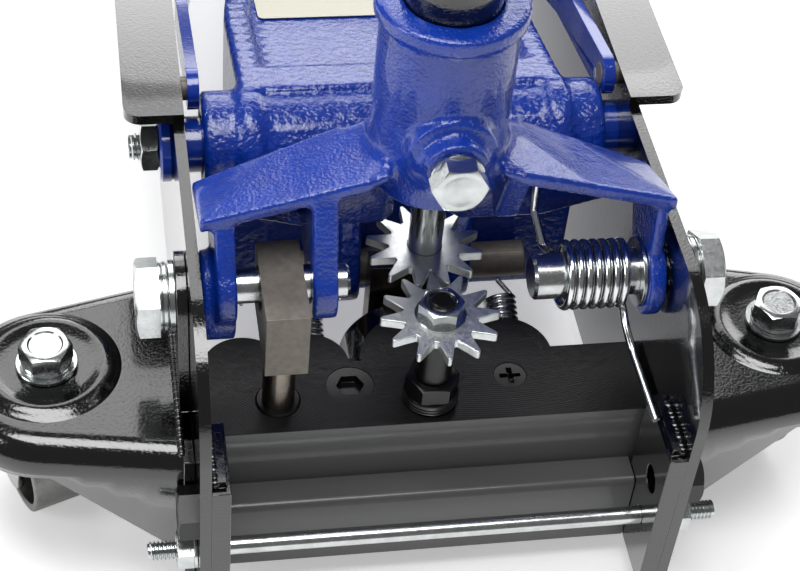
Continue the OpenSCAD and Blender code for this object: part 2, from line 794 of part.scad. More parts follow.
// Handle yoke with its socket, roofs, arms and lugs
module roof_half(s) {
  in = socket_d * 0.4;
  half_way = (in + eye_x) / 2;
  roof_strip(s, in, half_way, 0, 1 / 2);
  roof_strip(s, half_way, eye_x, 1 / 2, 1);
}
// One strip of the roof: two places across, and how far each is from the tube to the end
module roof_strip(s, a, b, share_a, share_b) {
  hull() {
    roof_edges(s * a, share_a);
    roof_edges(s * b, share_b);
  }
}
module roof_edges(x, share) {
  box_edge(x, roof_v, roof_back_z + (roof_end_z - roof_back_z) * share);
  box_edge(x, roof_front_v - over, roof_z + (roof_end_front_z - roof_z) * share);
}
module box_edge(x, v, z) {
  translate([x - over / 2, v, z - roof_t]) cube([over, over, roof_t]);
}
module arm_side_plate() {
  up = roof_end_z - roof_t / 2;
  front_up = roof_end_front_z - roof_t / 2;
  front = roof_front_v - hood_t;
  disc_at(eye_r, pivot_v, pivot_z);
  disc_at(drive_r, drive_v, drive_z);
  polygon([[drive_v - drive_r, drive_z], [roof_v, up], [front, front_up],
    [front, pivot_z + eye_r * 0.8], [pivot_v + eye_r, pivot_z]]);
}
module lug_side() {
  front = roof_front_v - hood_t;
  disc_at(drive_r, drive_v, drive_z);
  polygon([[drive_v - drive_r, drive_z], [roof_v, roof_end_z + roof_t * 1.8],
    [front, roof_end_front_z + roof_t * 3.2], [front, pivot_z + eye_r * 0.8],
    [drive_v, drive_z - drive_r]]);
}
module yoke() {
  left_in = eye_x - eye_boss - arm_wall;
  rib_x = socket_d / 2;
  rib_low = hood_low + hood_t * 2;
  color(blue) in_frame() difference() {
    union() {
      bar_z(socket_d, roof_end_z, socket_top, 0, up_gear_v);
      bar_z(rim_d, socket_top - rim_h, socket_top, 0, up_gear_v);
      roof_half(1);
      roof_half(-1);
      hood();
      slab_x(-eye_x + eye_boss, -left_in) arm_side_plate();
      bar_x(2 * eye_r, -eye_x, -left_in - over, pivot_v, pivot_z);
      slab_x(-lug_x, -lug_x + lug_t) lug_side();
      slab_x(right_in, eye_x - eye_boss * 0.4) strap_arm();
      bar_x(2 * eye_r, right_in, eye_x, pivot_v, pivot_z);
      slab_x(rib_x, rib_x + lug_t) rib_side(rib_low);
      bar_y(clamp_boss_d, clamp_v, up_gear_v, 0, clamp_z);
      bar_y(clamp_boss_d * 1.35, up_gear_v - socket_d * 0.55, up_gear_v, 0, clamp_z);
    }
    bar_z(socket_bore_d, pivot_z, socket_top + over, 0, up_gear_v);
    bar_y(m12_d, clamp_v - over, up_gear_v, 0, clamp_z);
    bar_x(bolt_d + 2 * run, right_in - over, eye_x + over, pivot_v, pivot_z);
    bar_x(bolt_d + 2 * run, -eye_x - over, drive_left, pivot_v, pivot_z);
    bar_x(drive_d, drive_left, -lug_x + lug_t + over, drive_v, drive_z);
  }
}
clamp_v = up_gear_v - socket_d * 0.7;
right_in = eye_x - eye_boss * 1.4;
module strap_arm() {
  disc_at(eye_r, pivot_v, pivot_z);
  polygon([[pivot_v - eye_r * 0.6, pivot_z], [roof_v + over, roof_end_z - roof_t / 2],
    [roof_front_v - hood_t, roof_end_front_z - roof_t / 2], [pivot_v + eye_r * 0.8, pivot_z]]);
}
module rib_side(low) {
  r = hood_t;
  disc_at(r, up_gear_v, low + r);
  polygon([[up_gear_v - r, low + r], [roof_v + hood_t, roof_back_z - roof_t],
    [roof_front_v - over, roof_z - roof_t * 1.5], [roof_front_v - over, low + r]]);
}
// Front wall under the roofs, cut to their slopes
module hood() {
  in = socket_d * 0.4;
  side = eye_x - eye_boss;
  translate([0, roof_front_v, 0]) rotate([90, 0, 0]) linear_extrude(hood_t)
    polygon([[-side, roof_end_front_z], [-in, roof_z - over], [in, roof_z - over],
      [side, roof_end_front_z], [side, roof_end_front_z - roof_t * 2], [lug_x, hood_low],
      [-lug_x, hood_low], [-side, roof_end_front_z - roof_t * 2]]);
}
module pivot_bolt(inner) {
  head = wing_x + 2 * washer_t;
  bar_x(bolt_d, inner, head + over, pivot_v, pivot_z);
  bar_x(bolt_af, head, head + over, pivot_v, pivot_z);
  hex_x(bolt_af, head + over, head + bolt_head_h, pivot_v, pivot_z);
}
module pivot_bolt_left() {
  color(zinc) in_frame() mirror([1, 0, 0])
    pivot_bolt(eye_x - eye_boss - arm_wall / 2 + gap);
}
module pivot_bolt_right() {
  color(zinc) in_frame() pivot_bolt(coil_x - wire_d * 3.5);
}
module lock_washers() {
  color(zinc) in_frame() both_sides() difference() {
    bar_x(bolt_d * 1.55, wing_x, wing_x + 2 * washer_t, pivot_v, pivot_z);
    bar_x(bolt_d + gap, wing_x - over, wing_x + 2 * washer_t + over, pivot_v, pivot_z);
  }
}
coil_end_x = coil_x + (coil_turns + 0.25) * coil_pitch;
module spring_washer() {
  color(zinc) in_frame() difference() {
    bar_x(2 * coil_r + wire_d, coil_end_x + wire_d * 0.55, right_in - gap, pivot_v, pivot_z);
    bar_x(bolt_d + gap, coil_x, in_x, pivot_v, pivot_z);
  }
}
// Middle line of the handle spring: upper leg, curls, lower leg
spring_turn = 8 * coil_turns + 2;
spring_mid = [for (i = [0:spring_turn]) let (w = 45 * i)
  [coil_x + coil_pitch * i / 8, pivot_v + coil_r * cos(w), pivot_z - coil_r * sin(w)]];
leg_x = coil_x - wire_d * 2.4;
leg_v = roof_front_v - hood_t - wire_d;
leg_share = (leg_x - socket_d * 0.4) / (eye_x - socket_d * 0.4);
roof_under = roof_z - roof_t - (roof_z - roof_end_front_z) * leg_share - wire_d / 2;
tip_x = in_x - bar_t * 0.7;
tip_v = bar_depth * 0.55;
tip_z = bar_top + weld_h + gap;
upper_leg = [[leg_x, leg_v, roof_under], [leg_x, leg_v, roof_under - wire_d],
  [leg_x, leg_v, pivot_z + coil_r * 2.2],
  [leg_x + wire_d * 0.3, leg_v - wire_d * 1.6, pivot_z + coil_r * 1.1],
  [coil_x - wire_d * 0.7, pivot_v + coil_r * 1.08, pivot_z + coil_r * 0.42]];
lower_leg = [[coil_end_x + wire_d * 0.1, pivot_v - coil_r * 0.5, pivot_z - coil_r * 1.03],
  [coil_end_x + wire_d * 0.4, pivot_v - coil_r * 1.7, pivot_z - coil_r * 1.25],
  [tip_x, tip_v + wire_d * 3, tip_z + wire_d * 2.2], [tip_x, tip_v + wire_d * 0.4,
    tip_z + wire_d * 1.8], [tip_x, tip_v, tip_z + wire_d], [tip_x, tip_v, tip_z]];
spring_path = concat(upper_leg, [for (i = [0:spring_turn]) spring_mid[i]], lower_leg);
echo(handle_spring_gap = least_gap(spring_mid, wire_d, 5));
module handle_spring() {
  color(zinc) in_frame() wire(spring_path, wire_d, [1, 0, 0]);
}
module drive_pin() {
  color(zinc) in_frame() difference() {
    bar_x(drive_d, drive_left, -lug_x + lug_t + drive_d * 0.4, drive_v, drive_z);
    split_holes(over);
  }
}
drive_left = -eye_x + eye_boss + arm_wall / 2;
split_left = -eye_x + eye_boss + arm_wall + split_d * 0.8;
split_right = -lug_x + lug_t + split_d * 0.8;
module split_holes(more) {
  half = drive_d / 2 + more;
  bar_z(split_d, drive_z - half, drive_z + half, split_left, drive_v);
  bar_z(split_d, drive_z - half, drive_z + half, split_right, drive_v);
}
module split_pins() {
  color(zinc) in_frame() split_holes(split_d);
}
clamp_in = handle_d * 0.42;
module clamp_bolt() {
  head = clamp_v - m12_washer;
  color(zinc) in_frame() {
    bar_y(m12_d, head - over, up_gear_v - clamp_in, 0, clamp_z);
    bar_y(m12_af * 1.1, head, clamp_v, 0, clamp_z);
    hex_y(m12_af, head - m12_head, head, 0, clamp_z);
  }
}

// Handle and release rod
plug_top = clamp_z + m12_d * 1.5;
handle_low = clamp_z - m12_d * 1.5;
module release_rod() {
  color(zinc) in_frame()
    bar_z(rod_d, pivot_z - gear_t, plug_top - over, 0, up_gear_v);
}
module handle_lower() {
  groove = clamp_in - gap;
  color(black) in_frame() difference() {
    bar_z(handle_d, handle_low, joint_z, 0, up_gear_v);
    bar_z(upper_d + 2 * run, plug_top, joint_z + over, 0, up_gear_v);
    bar_z(rod_d, handle_low - over, plug_top + over, 0, up_gear_v);
    difference() {
      bar_z(handle_d + over, clamp_z - m12_d * 0.6, clamp_z + m12_d * 0.6, 0, up_gear_v);
      bar_z(2 * groove, clamp_z - m12_d, clamp_z + m12_d, 0, up_gear_v);
    }
  }
}
module handle_upper() {
  low = joint_z - joint_len;
  top = handle_top - tube_wall - gap;
  color(black) in_frame() difference() {
    bar_z(upper_d, low, top, 0, up_gear_v);
    bar_z(upper_d - 2 * tube_wall, low - over, top + over, 0, up_gear_v);
  }
}
module grip() {
  low = handle_top - grip_len;
  color(rubber) in_frame() difference() {
    union() {
      bar_z(grip_d, low, handle_top, 0, up_gear_v);
      bar_z(grip_d * 1.12, low, low + tube_wall * 3, 0, up_gear_v);
    }
    bar_z(upper_d, low - over, handle_top - tube_wall, 0, up_gear_v);
  }
}
module foam_sleeve() {
  color(rubber) in_frame() difference() {
    bar_z(foam_d, foam_z, foam_z + foam_len, 0, up_gear_v);
    bar_z(handle_d, foam_z - over, foam_z + foam_len + over, 0, up_gear_v);
  }
}

// Lift arm: a point is given along the arm and square to it
function on_arm(a, up) = [arm_v + a * cos(arm_slope) + up * sin(arm_slope),
  arm_z - a * sin(arm_slope) + up * cos(arm_slope)];
module arm_side(top, low) {
  polygon([on_arm(0, back_up - top), on_arm(arm_len, nose_up - top),
    on_arm(arm_len, -nose_up - low), on_arm(arm_len * 0.5, -back_down * 0.6 - low),
    on_arm(arm_len * 0.12, -back_down - low), on_arm(0, -back_down * 0.8 - low)]);
}
module arm_plan(inset) {
  a = arm_v + arm_len * 0.18;
  b = arm_v + arm_len * 0.8;
  w = arm_half - inset;
  n = nose_half - inset;
  far = frame_len;
  polygon([[-w, arm_v - boss_d], [-w, a], [-n, b], [-n, far], [n, far], [n, b], [w, a],
    [w, arm_v - boss_d]]);
}
module ear(a, b) {
  slab_x(a, b) strap(boss_d / 2, arm_v, arm_z, crank_pin_d * 0.95, crank_v, crank_z);
}
module lift_arm() {
  web_v = crank_v + crank_pin_d / 2 + over;
  color(blue) in_frame() difference() {
    union() {
      difference() {
        intersection() {
          slab_x(-arm_half, arm_half) union() {
            arm_side(0, 0);
            disc_at(nose_up, arm_tip_v, arm_tip_z);
          }
          slab_z(0, 2 * flange_h) arm_plan(0);
        }
        intersection() {
          slab_x(-arm_half, arm_half) arm_side(arm_t + rim_up, back_down);
          slab_z(0, 2 * flange_h) arm_plan(arm_t);
        }
        intersection() {
          slab_x(-arm_half, arm_half) polygon([on_arm(boss_d * 0.5, back_up - rim_up),
            on_arm(arm_len * 0.9, nose_up + rim_up * 0.2 - rim_up), on_arm(arm_len, back_up * 2),
            on_arm(boss_d * 0.4, back_up * 2)]);
          slab_z(0, 2 * flange_h) arm_plan(arm_t * 1.4);
        }
      }
      bar_x(boss_d, -boss_half, boss_half, arm_v, arm_z);
      bar_x(2 * nose_up, -nose_half, nose_half, arm_tip_v, arm_tip_z);
      box([-web_half, web_half], [web_v, web_v + web_t], [web_low, arm_z + back_up * 0.7]);
      both_sides() {
        ear(pad_w * 0.6, pad_w * 0.6 + arm_t * 1.3);
        bar_x(boss_d + rim_up, arm_half - arm_t, arm_half, arm_v, arm_z);
      }
    }
    bar_x(shaft_d + 2 * run, -boss_half - over, boss_half + over, arm_v, arm_z);
    bar_x(crank_pin_d, -arm_half, arm_half, crank_v, crank_z);
    bar_x(saddle_pin_d + 2 * run, -nose_half - over, nose_half + over, arm_tip_v, arm_tip_z);
  }
}
nut_in = out_x + collar_t;
nut_h = m12_d * 0.65;
module arm_shaft() {
  dome = shaft_d * 1.3;
  color(blue) in_frame() {
    bar_x(shaft_d, -out_x - over, out_x + over, arm_v, arm_z);
    bar_x(dome, out_x, out_x + washer_t * 2, arm_v, arm_z);
    bar_x(dome, -nut_in, -out_x, arm_v, arm_z);
    bar_x(m12_d, -nut_in - nut_h - m12_d * 0.4, -out_x, arm_v, arm_z);
  }
}
module arm_nut() {
  color(zinc) in_frame() difference() {
    hex_x(m12_af, -nut_in - nut_h, -nut_in, arm_v, arm_z);
    bar_x(m12_d, -nut_in - 2 * m12_d, -out_x, arm_v, arm_z);
  }
}
module crank_pin() {
  color(steel) in_frame()
    bar_x(crank_pin_d, -crank_pin_half, crank_pin_half, crank_v, crank_z);
}
module ram_rod() {
  face = crank_v - crank_pin_d / 2 - gap;
  color(zinc) in_frame() {
    bar_y(ram_d, ram_end_v + over, face - pad_t + over, 0, ram_z);
    box([-pad_w / 2, pad_w / 2], [face - pad_t, face],
      [ram_z - ram_d / 2, crank_z + pad_h / 2]);
  }
}
// Return spring from the crank pin down to its anchor in the unit
function toward(s) = unit([0, anchor_v - crank_v, anchor_z - crank_z]);
hook = crank_pin_d / 2 + return_wire_d / 2 + gap;
hook_low = anchor_d / 2 + return_wire_d / 2 + gap;
spring_span = norm([anchor_v - crank_v, anchor_z - crank_z]);
coil_start = hook + return_r * 1.6;
coil_stop = spring_span - hook_low - return_r * 1.6;
return_pitch = (coil_stop - coil_start) / return_turns;
side_way = cross([1, 0, 0], toward(0));
function at_span(s, x, w) = [x, crank_v, crank_z] + s * toward(0) + w * side_way;
function return_path(x) = concat(
  [at_span(hook, x - return_r, 0), at_span(hook + return_r * 0.8, x - return_r * 0.5, 0)],
  [for (i = [0:8 * return_turns]) at_span(coil_start + return_pitch * i / 8,
    x + return_r * cos(45 * i), return_r * sin(45 * i))],
  [at_span(spring_span - hook_low - return_r * 0.8, x + return_r * 0.5, 0),
    at_span(spring_span - hook_low, x, 0)]);
echo(return_spring_gap = return_pitch - return_wire_d);
module return_spring_right() {
  color(zinc) in_frame() wire(return_path(return_x), return_wire_d, [0, 1, 0]);
}
module return_spring_left() {
  color(zinc) in_frame() wire(return_path(-return_x), return_wire_d, [0, 1, 0]);
}

// Links and saddle
module link_bar() {
  a_v = arm_v + link_v;
  a_z = arm_z + link_up;
  b_v = arm_tip_v + link_v;
  b_z = arm_tip_z + link_up;
  bend_a = a_v + arm_len * 0.17;
  bend_b = a_v + arm_len * 0.78;
  color(blue) in_frame() difference() {
    intersection() {
      slab_x(0, in_x) strap(link_h / 2, a_v, a_z, link_h / 2, b_v, b_z);
      slab_z(0, flange_h * 2) polygon([[link_x, 0], [link_x, bend_a], [link_nose_x, bend_b],
        [link_nose_x, frame_len], [link_nose_x + link_t, frame_len],
        [link_nose_x + link_t, bend_b], [link_x + link_t, bend_a], [link_x + link_t, 0]]);
    }
    bar_x(link_pin_d + 2 * run, 0, in_x, a_v, a_z);
    bar_x(link_pin_d + 2 * run, 0, in_x, b_v, b_z);
  }
}
module link_bar_right() {
  link_bar();
}
module link_bar_left() {
  mirror([1, 0, 0]) link_bar();
}
module link_studs() {
  color(steel) in_frame() both_sides()
    bar_x(link_pin_d, link_x - gap, out_x, arm_v + link_v, arm_z + link_up);
}
module saddle_yoke() {
  b_v = arm_tip_v + link_v;
  b_z = arm_tip_z + link_up;
  front = arm_tip_v + nose_up + over;
  color(blue) in_frame() difference() {
    union() {
      both_sides() {
        slab_x(cheek_x, cheek_out) {
          disc_at(nose_up, arm_tip_v, arm_tip_z);
          disc_at(link_h / 2, b_v, b_z);
          polygon([[arm_tip_v - nose_up, arm_tip_z], [b_v - link_h / 2, b_z],
            [b_v + link_h / 2, b_z], [stem_v + stem_d, seat_z], [stem_v + stem_d, arm_tip_z
            - nose_up], [arm_tip_v, arm_tip_z - nose_up]]);
        }
        bar_x(link_pin_d, cheek_out - over, link_nose_x + link_t + over, b_v, b_z);
      }
      box([-cheek_x - over, cheek_x + over], [front, stem_v + stem_d],
        [arm_tip_z - nose_up, seat_z]);
    }
    bar_x(saddle_pin_d, -cheek_out - over, cheek_out + over, arm_tip_v, arm_tip_z);
    bar_z(stem_d + 2 * run, arm_tip_z - nose_up - over, seat_z + over, 0, stem_v);
    bar_z(saddle_d + 2 * over, seat_z, flange_h, 0, stem_v);
  }
}
module saddle_pin() {
  color(zinc) in_frame() bar_x(saddle_pin_d, -cheek_out, cheek_out, arm_tip_v, arm_tip_z);
}
saddle_low = seat_z + gap;
module saddle() {
  rim_in = saddle_d - saddle_rim;
  notch = saddle_d / 4;
  color(black) in_frame() difference() {
    union() {
      bar_z(stem_d, arm_tip_z - nose_up, saddle_low + over, 0, stem_v);
      bar_z(saddle_d, saddle_low, saddle_low + saddle_floor + saddle_rim, 0, stem_v);
    }
    bar_z(rim_in, saddle_low + saddle_floor, flange_h, 0, stem_v);
    box([-notch / 2, notch / 2], [stem_v - saddle_d, stem_v + saddle_d],
      [saddle_low + saddle_floor, flange_h]);
    box([-saddle_d, saddle_d], [stem_v - notch / 2, stem_v + notch / 2],
      [saddle_low + saddle_floor, flange_h]);
  }
}
module saddle_pad() {
  low = saddle_low + saddle_floor;
  color(rubber) in_frame() difference() {
    bar_z(saddle_d - saddle_rim - gap, low, low + pad_up, 0, stem_v);
    for (i = [-1, 1]) box([-saddle_d, saddle_d],
      [stem_v + i * saddle_d / 5 - over, stem_v + i * saddle_d / 5 + over],
      [low + pad_up - 2 * over, low + pad_up + over]);
  }
}

// Wheels
module front_wheel() {
  color(steel) in_frame() difference() {
    bar_x(wheel_d, wheel_x - wheel_w, wheel_x, axle_v, axle_z);
    bar_x(axle_d + 2 * run, wheel_x - wheel_w - over, wheel_x + over, axle_v, axle_z);
    for (a = [wheel_x - wheel_w - over, wheel_x - wheel_dish]) difference() {
      bar_x(wheel_rim_d, a, a + wheel_dish + over, axle_v, axle_z);
      bar_x(wheel_hub_d, a - over, a + wheel_dish + 2 * over, axle_v, axle_z);
    }
  }
}
module front_wheel_right() {
  front_wheel();
}
module front_wheel_left() {
  mirror([1, 0, 0]) front_wheel();
}
// Casters are built pointing straight back, then turned about their bolt
module caster(side) {
  in_frame() translate([side * caster_x, caster_v, 0]) rotate(caster_turn) children();
}
module fork() {
  half = roller_w / 2 + gap;
  low = roller_z - roller_d * 0.25;
  color(black) {
    difference() {
      union() {
        bar_z(crown_d, crown_z, crown_z + fork_t, 0, 0);
        both_sides() slab_x(half, half + fork_t) {
          disc_at(roller_d * 0.25, -trail, roller_z);
          polygon([[-trail - roller_d * 0.25, roller_z], [-trail, crown_z + fork_t],
            [crown_d * 0.28, crown_z + fork_t], [-trail + roller_d * 0.25, roller_z]]);
        }
        box([-half - fork_t, half + fork_t], [-trail, crown_d * 0.28],
          [crown_z, crown_z + fork_t]);
      }
      bar_z(m12_d + 2 * run, low, crown_z + 2 * fork_t, 0, 0);
    }
    bar_x(roller_axle_d, -half - fork_t - over, half + fork_t + over, -trail, roller_z);
  }
}
module caster_fork_left() {
  caster(-1) fork();
}
module caster_fork_right() {
  caster(1) fork();
}
module roller() {
  color(steel) difference() {
    union() {
      difference() {
        bar_x(roller_d, -roller_w / 2, roller_w / 2, -trail, roller_z);
        bar_x(roller_d - 2 * roller_wall, -roller_w / 2 - over, roller_w / 2 + over, -trail,
          roller_z);
      }
      bar_x(roller_axle_d * 2, -roller_w / 2, roller_w / 2, -trail, roller_z);
      bar_x(roller_d - roller_wall, -roller_wall, roller_wall, -trail, roller_z);
    }
    bar_x(roller_axle_d + 2 * run, -roller_w, roller_w, -trail, roller_z);
  }
}
module caster_wheel_left() {
  caster(-1) roller();
}
module caster_wheel_right() {
  caster(1) roller();
}
module caster_bolt() {
  seat = wing_top + press_up;
  head = seat + 2 * m12_washer;
  color(zinc) {
    bar_z(m12_d, crown_z, head + m12_head, 0, 0);
    bar_z(m12_af * 1.35, seat, seat + m12_washer, 0, 0);
    bar_z(m12_af * 1.12, seat + m12_washer, head, 0, 0);
    hex_z(m12_af, head, head + m12_head, 0, 0);
    bar_z(race_d, crown_z + fork_t + gap, wing_top - wing_t, 0, 0);
  }
}
module caster_bolt_left() {
  caster(-1) caster_bolt();
}
module caster_bolt_right() {
  caster(1) caster_bolt();
}

side_plate_left();
side_plate_right();
back_bar_left();
back_bar_right();
tie_rod();
tie_nuts();
front_axle();
axle_nuts();
front_bridge();
wing_left();
wing_right();
unit_bolts();
bar_bolts();
power_unit();
ram_cylinder();
filler_plug();
safety_screw();
valve_gland();
valve_spindle();
lower_gear();
gear_nut();
pump_plunger();
pump_block();
drive_pin();
split_pins();
yoke();
pivot_bolt_left();
pivot_bolt_right();
lock_washers();
spring_washer();
handle_spring();
clamp_bolt();
release_rod();
upper_gear();
handle_lower();
handle_upper();
foam_sleeve();
grip();
lift_arm();
arm_shaft();
arm_nut();
crank_pin();
ram_rod();
return_spring_left();
return_spring_right();
link_bar_left();
link_bar_right();
link_studs();
saddle_yoke();
saddle_pin();
saddle();
saddle_pad();
front_wheel_left();
front_wheel_right();
caster_fork_left();
caster_fork_right();
caster_wheel_left();
caster_wheel_right();
caster_bolt_left();
caster_bolt_right();
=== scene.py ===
"""Low profile trolley jack seen close from the handle end, on a white studio floor."""
import json
import math

import bmesh
import bpy
from mathutils import Matrix, Vector


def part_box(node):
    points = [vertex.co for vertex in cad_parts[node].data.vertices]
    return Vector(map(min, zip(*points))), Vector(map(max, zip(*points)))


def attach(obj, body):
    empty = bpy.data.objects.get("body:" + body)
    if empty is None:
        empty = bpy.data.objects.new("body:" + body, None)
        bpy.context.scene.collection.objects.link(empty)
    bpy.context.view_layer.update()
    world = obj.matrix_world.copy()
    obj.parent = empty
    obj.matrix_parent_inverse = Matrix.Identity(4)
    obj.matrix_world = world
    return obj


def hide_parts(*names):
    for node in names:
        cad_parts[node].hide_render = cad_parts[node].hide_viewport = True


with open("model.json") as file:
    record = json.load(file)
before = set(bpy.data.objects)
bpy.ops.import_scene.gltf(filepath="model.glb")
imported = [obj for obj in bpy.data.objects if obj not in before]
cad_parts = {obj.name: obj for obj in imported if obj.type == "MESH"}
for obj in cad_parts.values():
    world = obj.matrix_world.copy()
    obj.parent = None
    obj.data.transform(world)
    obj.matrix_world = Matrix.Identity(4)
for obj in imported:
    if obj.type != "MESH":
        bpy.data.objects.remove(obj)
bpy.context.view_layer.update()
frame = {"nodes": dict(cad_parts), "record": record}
NODES = frame["nodes"]
BEHAVIOUR = frame["record"]["behaviour"]
BODY = {node: body for body, held in BEHAVIOUR["bodies"].items() for node in held}
JOINT = {joint["name"]: joint for joint in BEHAVIOUR["joints"]}
MM = 0.001
TURN = 2 * math.pi
REAR = -354 * MM
PLATE_FACE = 98.5 * MM
WING_FACE = 103 * MM
WING_TOP = 84 * MM
WING_R = 38 * MM


# ---------------------------------------------------------------- materials
def linear(code):
    """An sRGB hex colour as a linear colour with full alpha."""
    parts = [int(code[i : i + 2], 16) / 255 for i in (1, 3, 5)]
    return [c / 12.92 if c <= 0.04045 else ((c + 0.055) / 1.055) ** 2.4 for c in parts] + [1]


def add(tree, kind, settings=None, links=None):
    """Adds a node: settings are attributes or input values, links are input name to output socket."""
    made = tree.nodes.new(kind)
    for key, value in (settings or {}).items():
        if isinstance(key, str) and hasattr(made, key):
            setattr(made, key, value)
        else:
            made.inputs[key].default_value = value
    for key, source in (links or {}).items():
        tree.links.new(source, made.inputs[key])
    return made


def blank(name):
    """An empty material. Returns it, its tree and the object coordinates that its patterns read."""
    material = bpy.data.materials.new(name)
    material.use_nodes = True
    tree = material.node_tree
    tree.nodes.clear()
    return material, tree, add(tree, "ShaderNodeTexCoord").outputs["Object"]


def gloss_enamel(name, colour, lump, depth, rough=0.12, coat=1.0):
    """Stoved gloss enamel on sheet steel: a hard wet shine that ripples like orange peel."""
    material, tree, place = blank(name)
    peel = add(tree, "ShaderNodeTexNoise", {"Scale": 1 / (lump * MM), "Detail": 1.0}, {"Vector": place})
    ripple = add(tree, "ShaderNodeBump", {"Distance": depth * MM}, {"Height": peel.outputs["Fac"]})
    bsdf = add(tree, "ShaderNodeBsdfPrincipled",
               {"Base Color": linear(colour), "Roughness": rough, "Coat Weight": coat,
                "Coat Roughness": 0.07},
               {"Normal": ripple.outputs["Normal"]})
    add(tree, "ShaderNodeOutputMaterial", links={"Surface": bsdf.outputs["BSDF"]})
    return material


def cast_enamel(name, light, dark, lump, depth):
    """Gloss enamel over a sand casting: small rounded lumps that each catch a spark of light."""
    material, tree, place = blank(name)
    drift = add(tree, "ShaderNodeTexNoise", {"Scale": 1 / (14 * MM), "Detail": 2.0}, {"Vector": place})
    colour = add(tree, "ShaderNodeMix", {"data_type": "RGBA", 6: linear(light), 7: linear(dark)},
                 {0: drift.outputs["Fac"]})
    grains = add(tree, "ShaderNodeTexNoise", {"Scale": 1 / (lump * MM), "Detail": 1.5}, {"Vector": place})
    hollows = add(tree, "ShaderNodeTexNoise", {"Scale": 1 / (6 * MM), "Detail": 1.0}, {"Vector": place})
    height = add(tree, "ShaderNodeMath", {"operation": "ADD"},
                 {0: grains.outputs["Fac"], 1: hollows.outputs["Fac"]})
    skin = add(tree, "ShaderNodeBump", {"Distance": depth * MM}, {"Height": height.outputs[0]})
    bsdf = add(tree, "ShaderNodeBsdfPrincipled",
               {"Roughness": 0.22, "Coat Weight": 0.5, "Coat Roughness": 0.06},
               {"Base Color": colour.outputs[2], "Normal": skin.outputs["Normal"]})
    add(tree, "ShaderNodeOutputMaterial", links={"Surface": bsdf.outputs["BSDF"]})
    return material


def plated_steel(name, light, dark, rough, grain):
    """Bright zinc plating: silver, slightly cloudy, with fine scratches from the bolt's forging."""
    material, tree, place = blank(name)
    cloud = add(tree, "ShaderNodeTexNoise", {"Scale": 1 / (grain * 5 * MM), "Detail": 3.0}, {"Vector": place})
    colour = add(tree, "ShaderNodeMix", {"data_type": "RGBA", 6: linear(dark), 7: linear(light)},
                 {0: cloud.outputs["Fac"]})
    fine = add(tree, "ShaderNodeTexNoise", {"Scale": 1 / (grain * MM), "Detail": 3.0}, {"Vector": place})
    dull = add(tree, "ShaderNodeMapRange", {"From Min": 0.3, "From Max": 0.7, "To Min": rough * 0.7,
                                            "To Max": rough * 1.3}, {"Value": fine.outputs["Fac"]})
    skin = add(tree, "ShaderNodeBump", {"Distance": 0.012 * MM}, {"Height": fine.outputs["Fac"]})
    bsdf = add(tree, "ShaderNodeBsdfPrincipled",
               {"Metallic": 1.0},
               {"Base Color": colour.outputs[2], "Roughness": dull.outputs[0],
                "Normal": skin.outputs["Normal"]})
    add(tree, "ShaderNodeOutputMaterial", links={"Surface": bsdf.outputs["BSDF"]})
    return material


def machined_steel(name, light, dark, rough, pitch, across, metal=1.0):
    """Sawn, ground or turned steel: parallel tool marks, pitch in millimetres, coarse enough to show."""
    material, tree, place = blank(name)
    stain = add(tree, "ShaderNodeTexNoise", {"Scale": 1 / (3 * MM), "Detail": 5.0}, {"Vector": place})
    colour = add(tree, "ShaderNodeMix", {"data_type": "RGBA", 6: linear(light), 7: linear(dark)},
                 {0: stain.outputs["Fac"]})
    marks = add(tree, "ShaderNodeTexWave", {"bands_direction": across, "Scale": TURN / (20 * pitch * MM),
                "Distortion": 1.5, "Detail": 3.0, "Detail Scale": 2.0}, {"Vector": place})
    dull = add(tree, "ShaderNodeMapRange", {"To Min": rough * 0.8, "To Max": rough * 1.25},
               {"Value": marks.outputs["Fac"]})
    cut = add(tree, "ShaderNodeBump", {"Distance": 0.02 * MM}, {"Height": marks.outputs["Fac"]})
    bsdf = add(tree, "ShaderNodeBsdfPrincipled",
               {"Metallic": metal},
               {"Base Color": colour.outputs[2], "Roughness": dull.outputs[0],
                "Normal": cut.outputs["Normal"]})
    add(tree, "ShaderNodeOutputMaterial", links={"Surface": bsdf.outputs["BSDF"]})
    return material


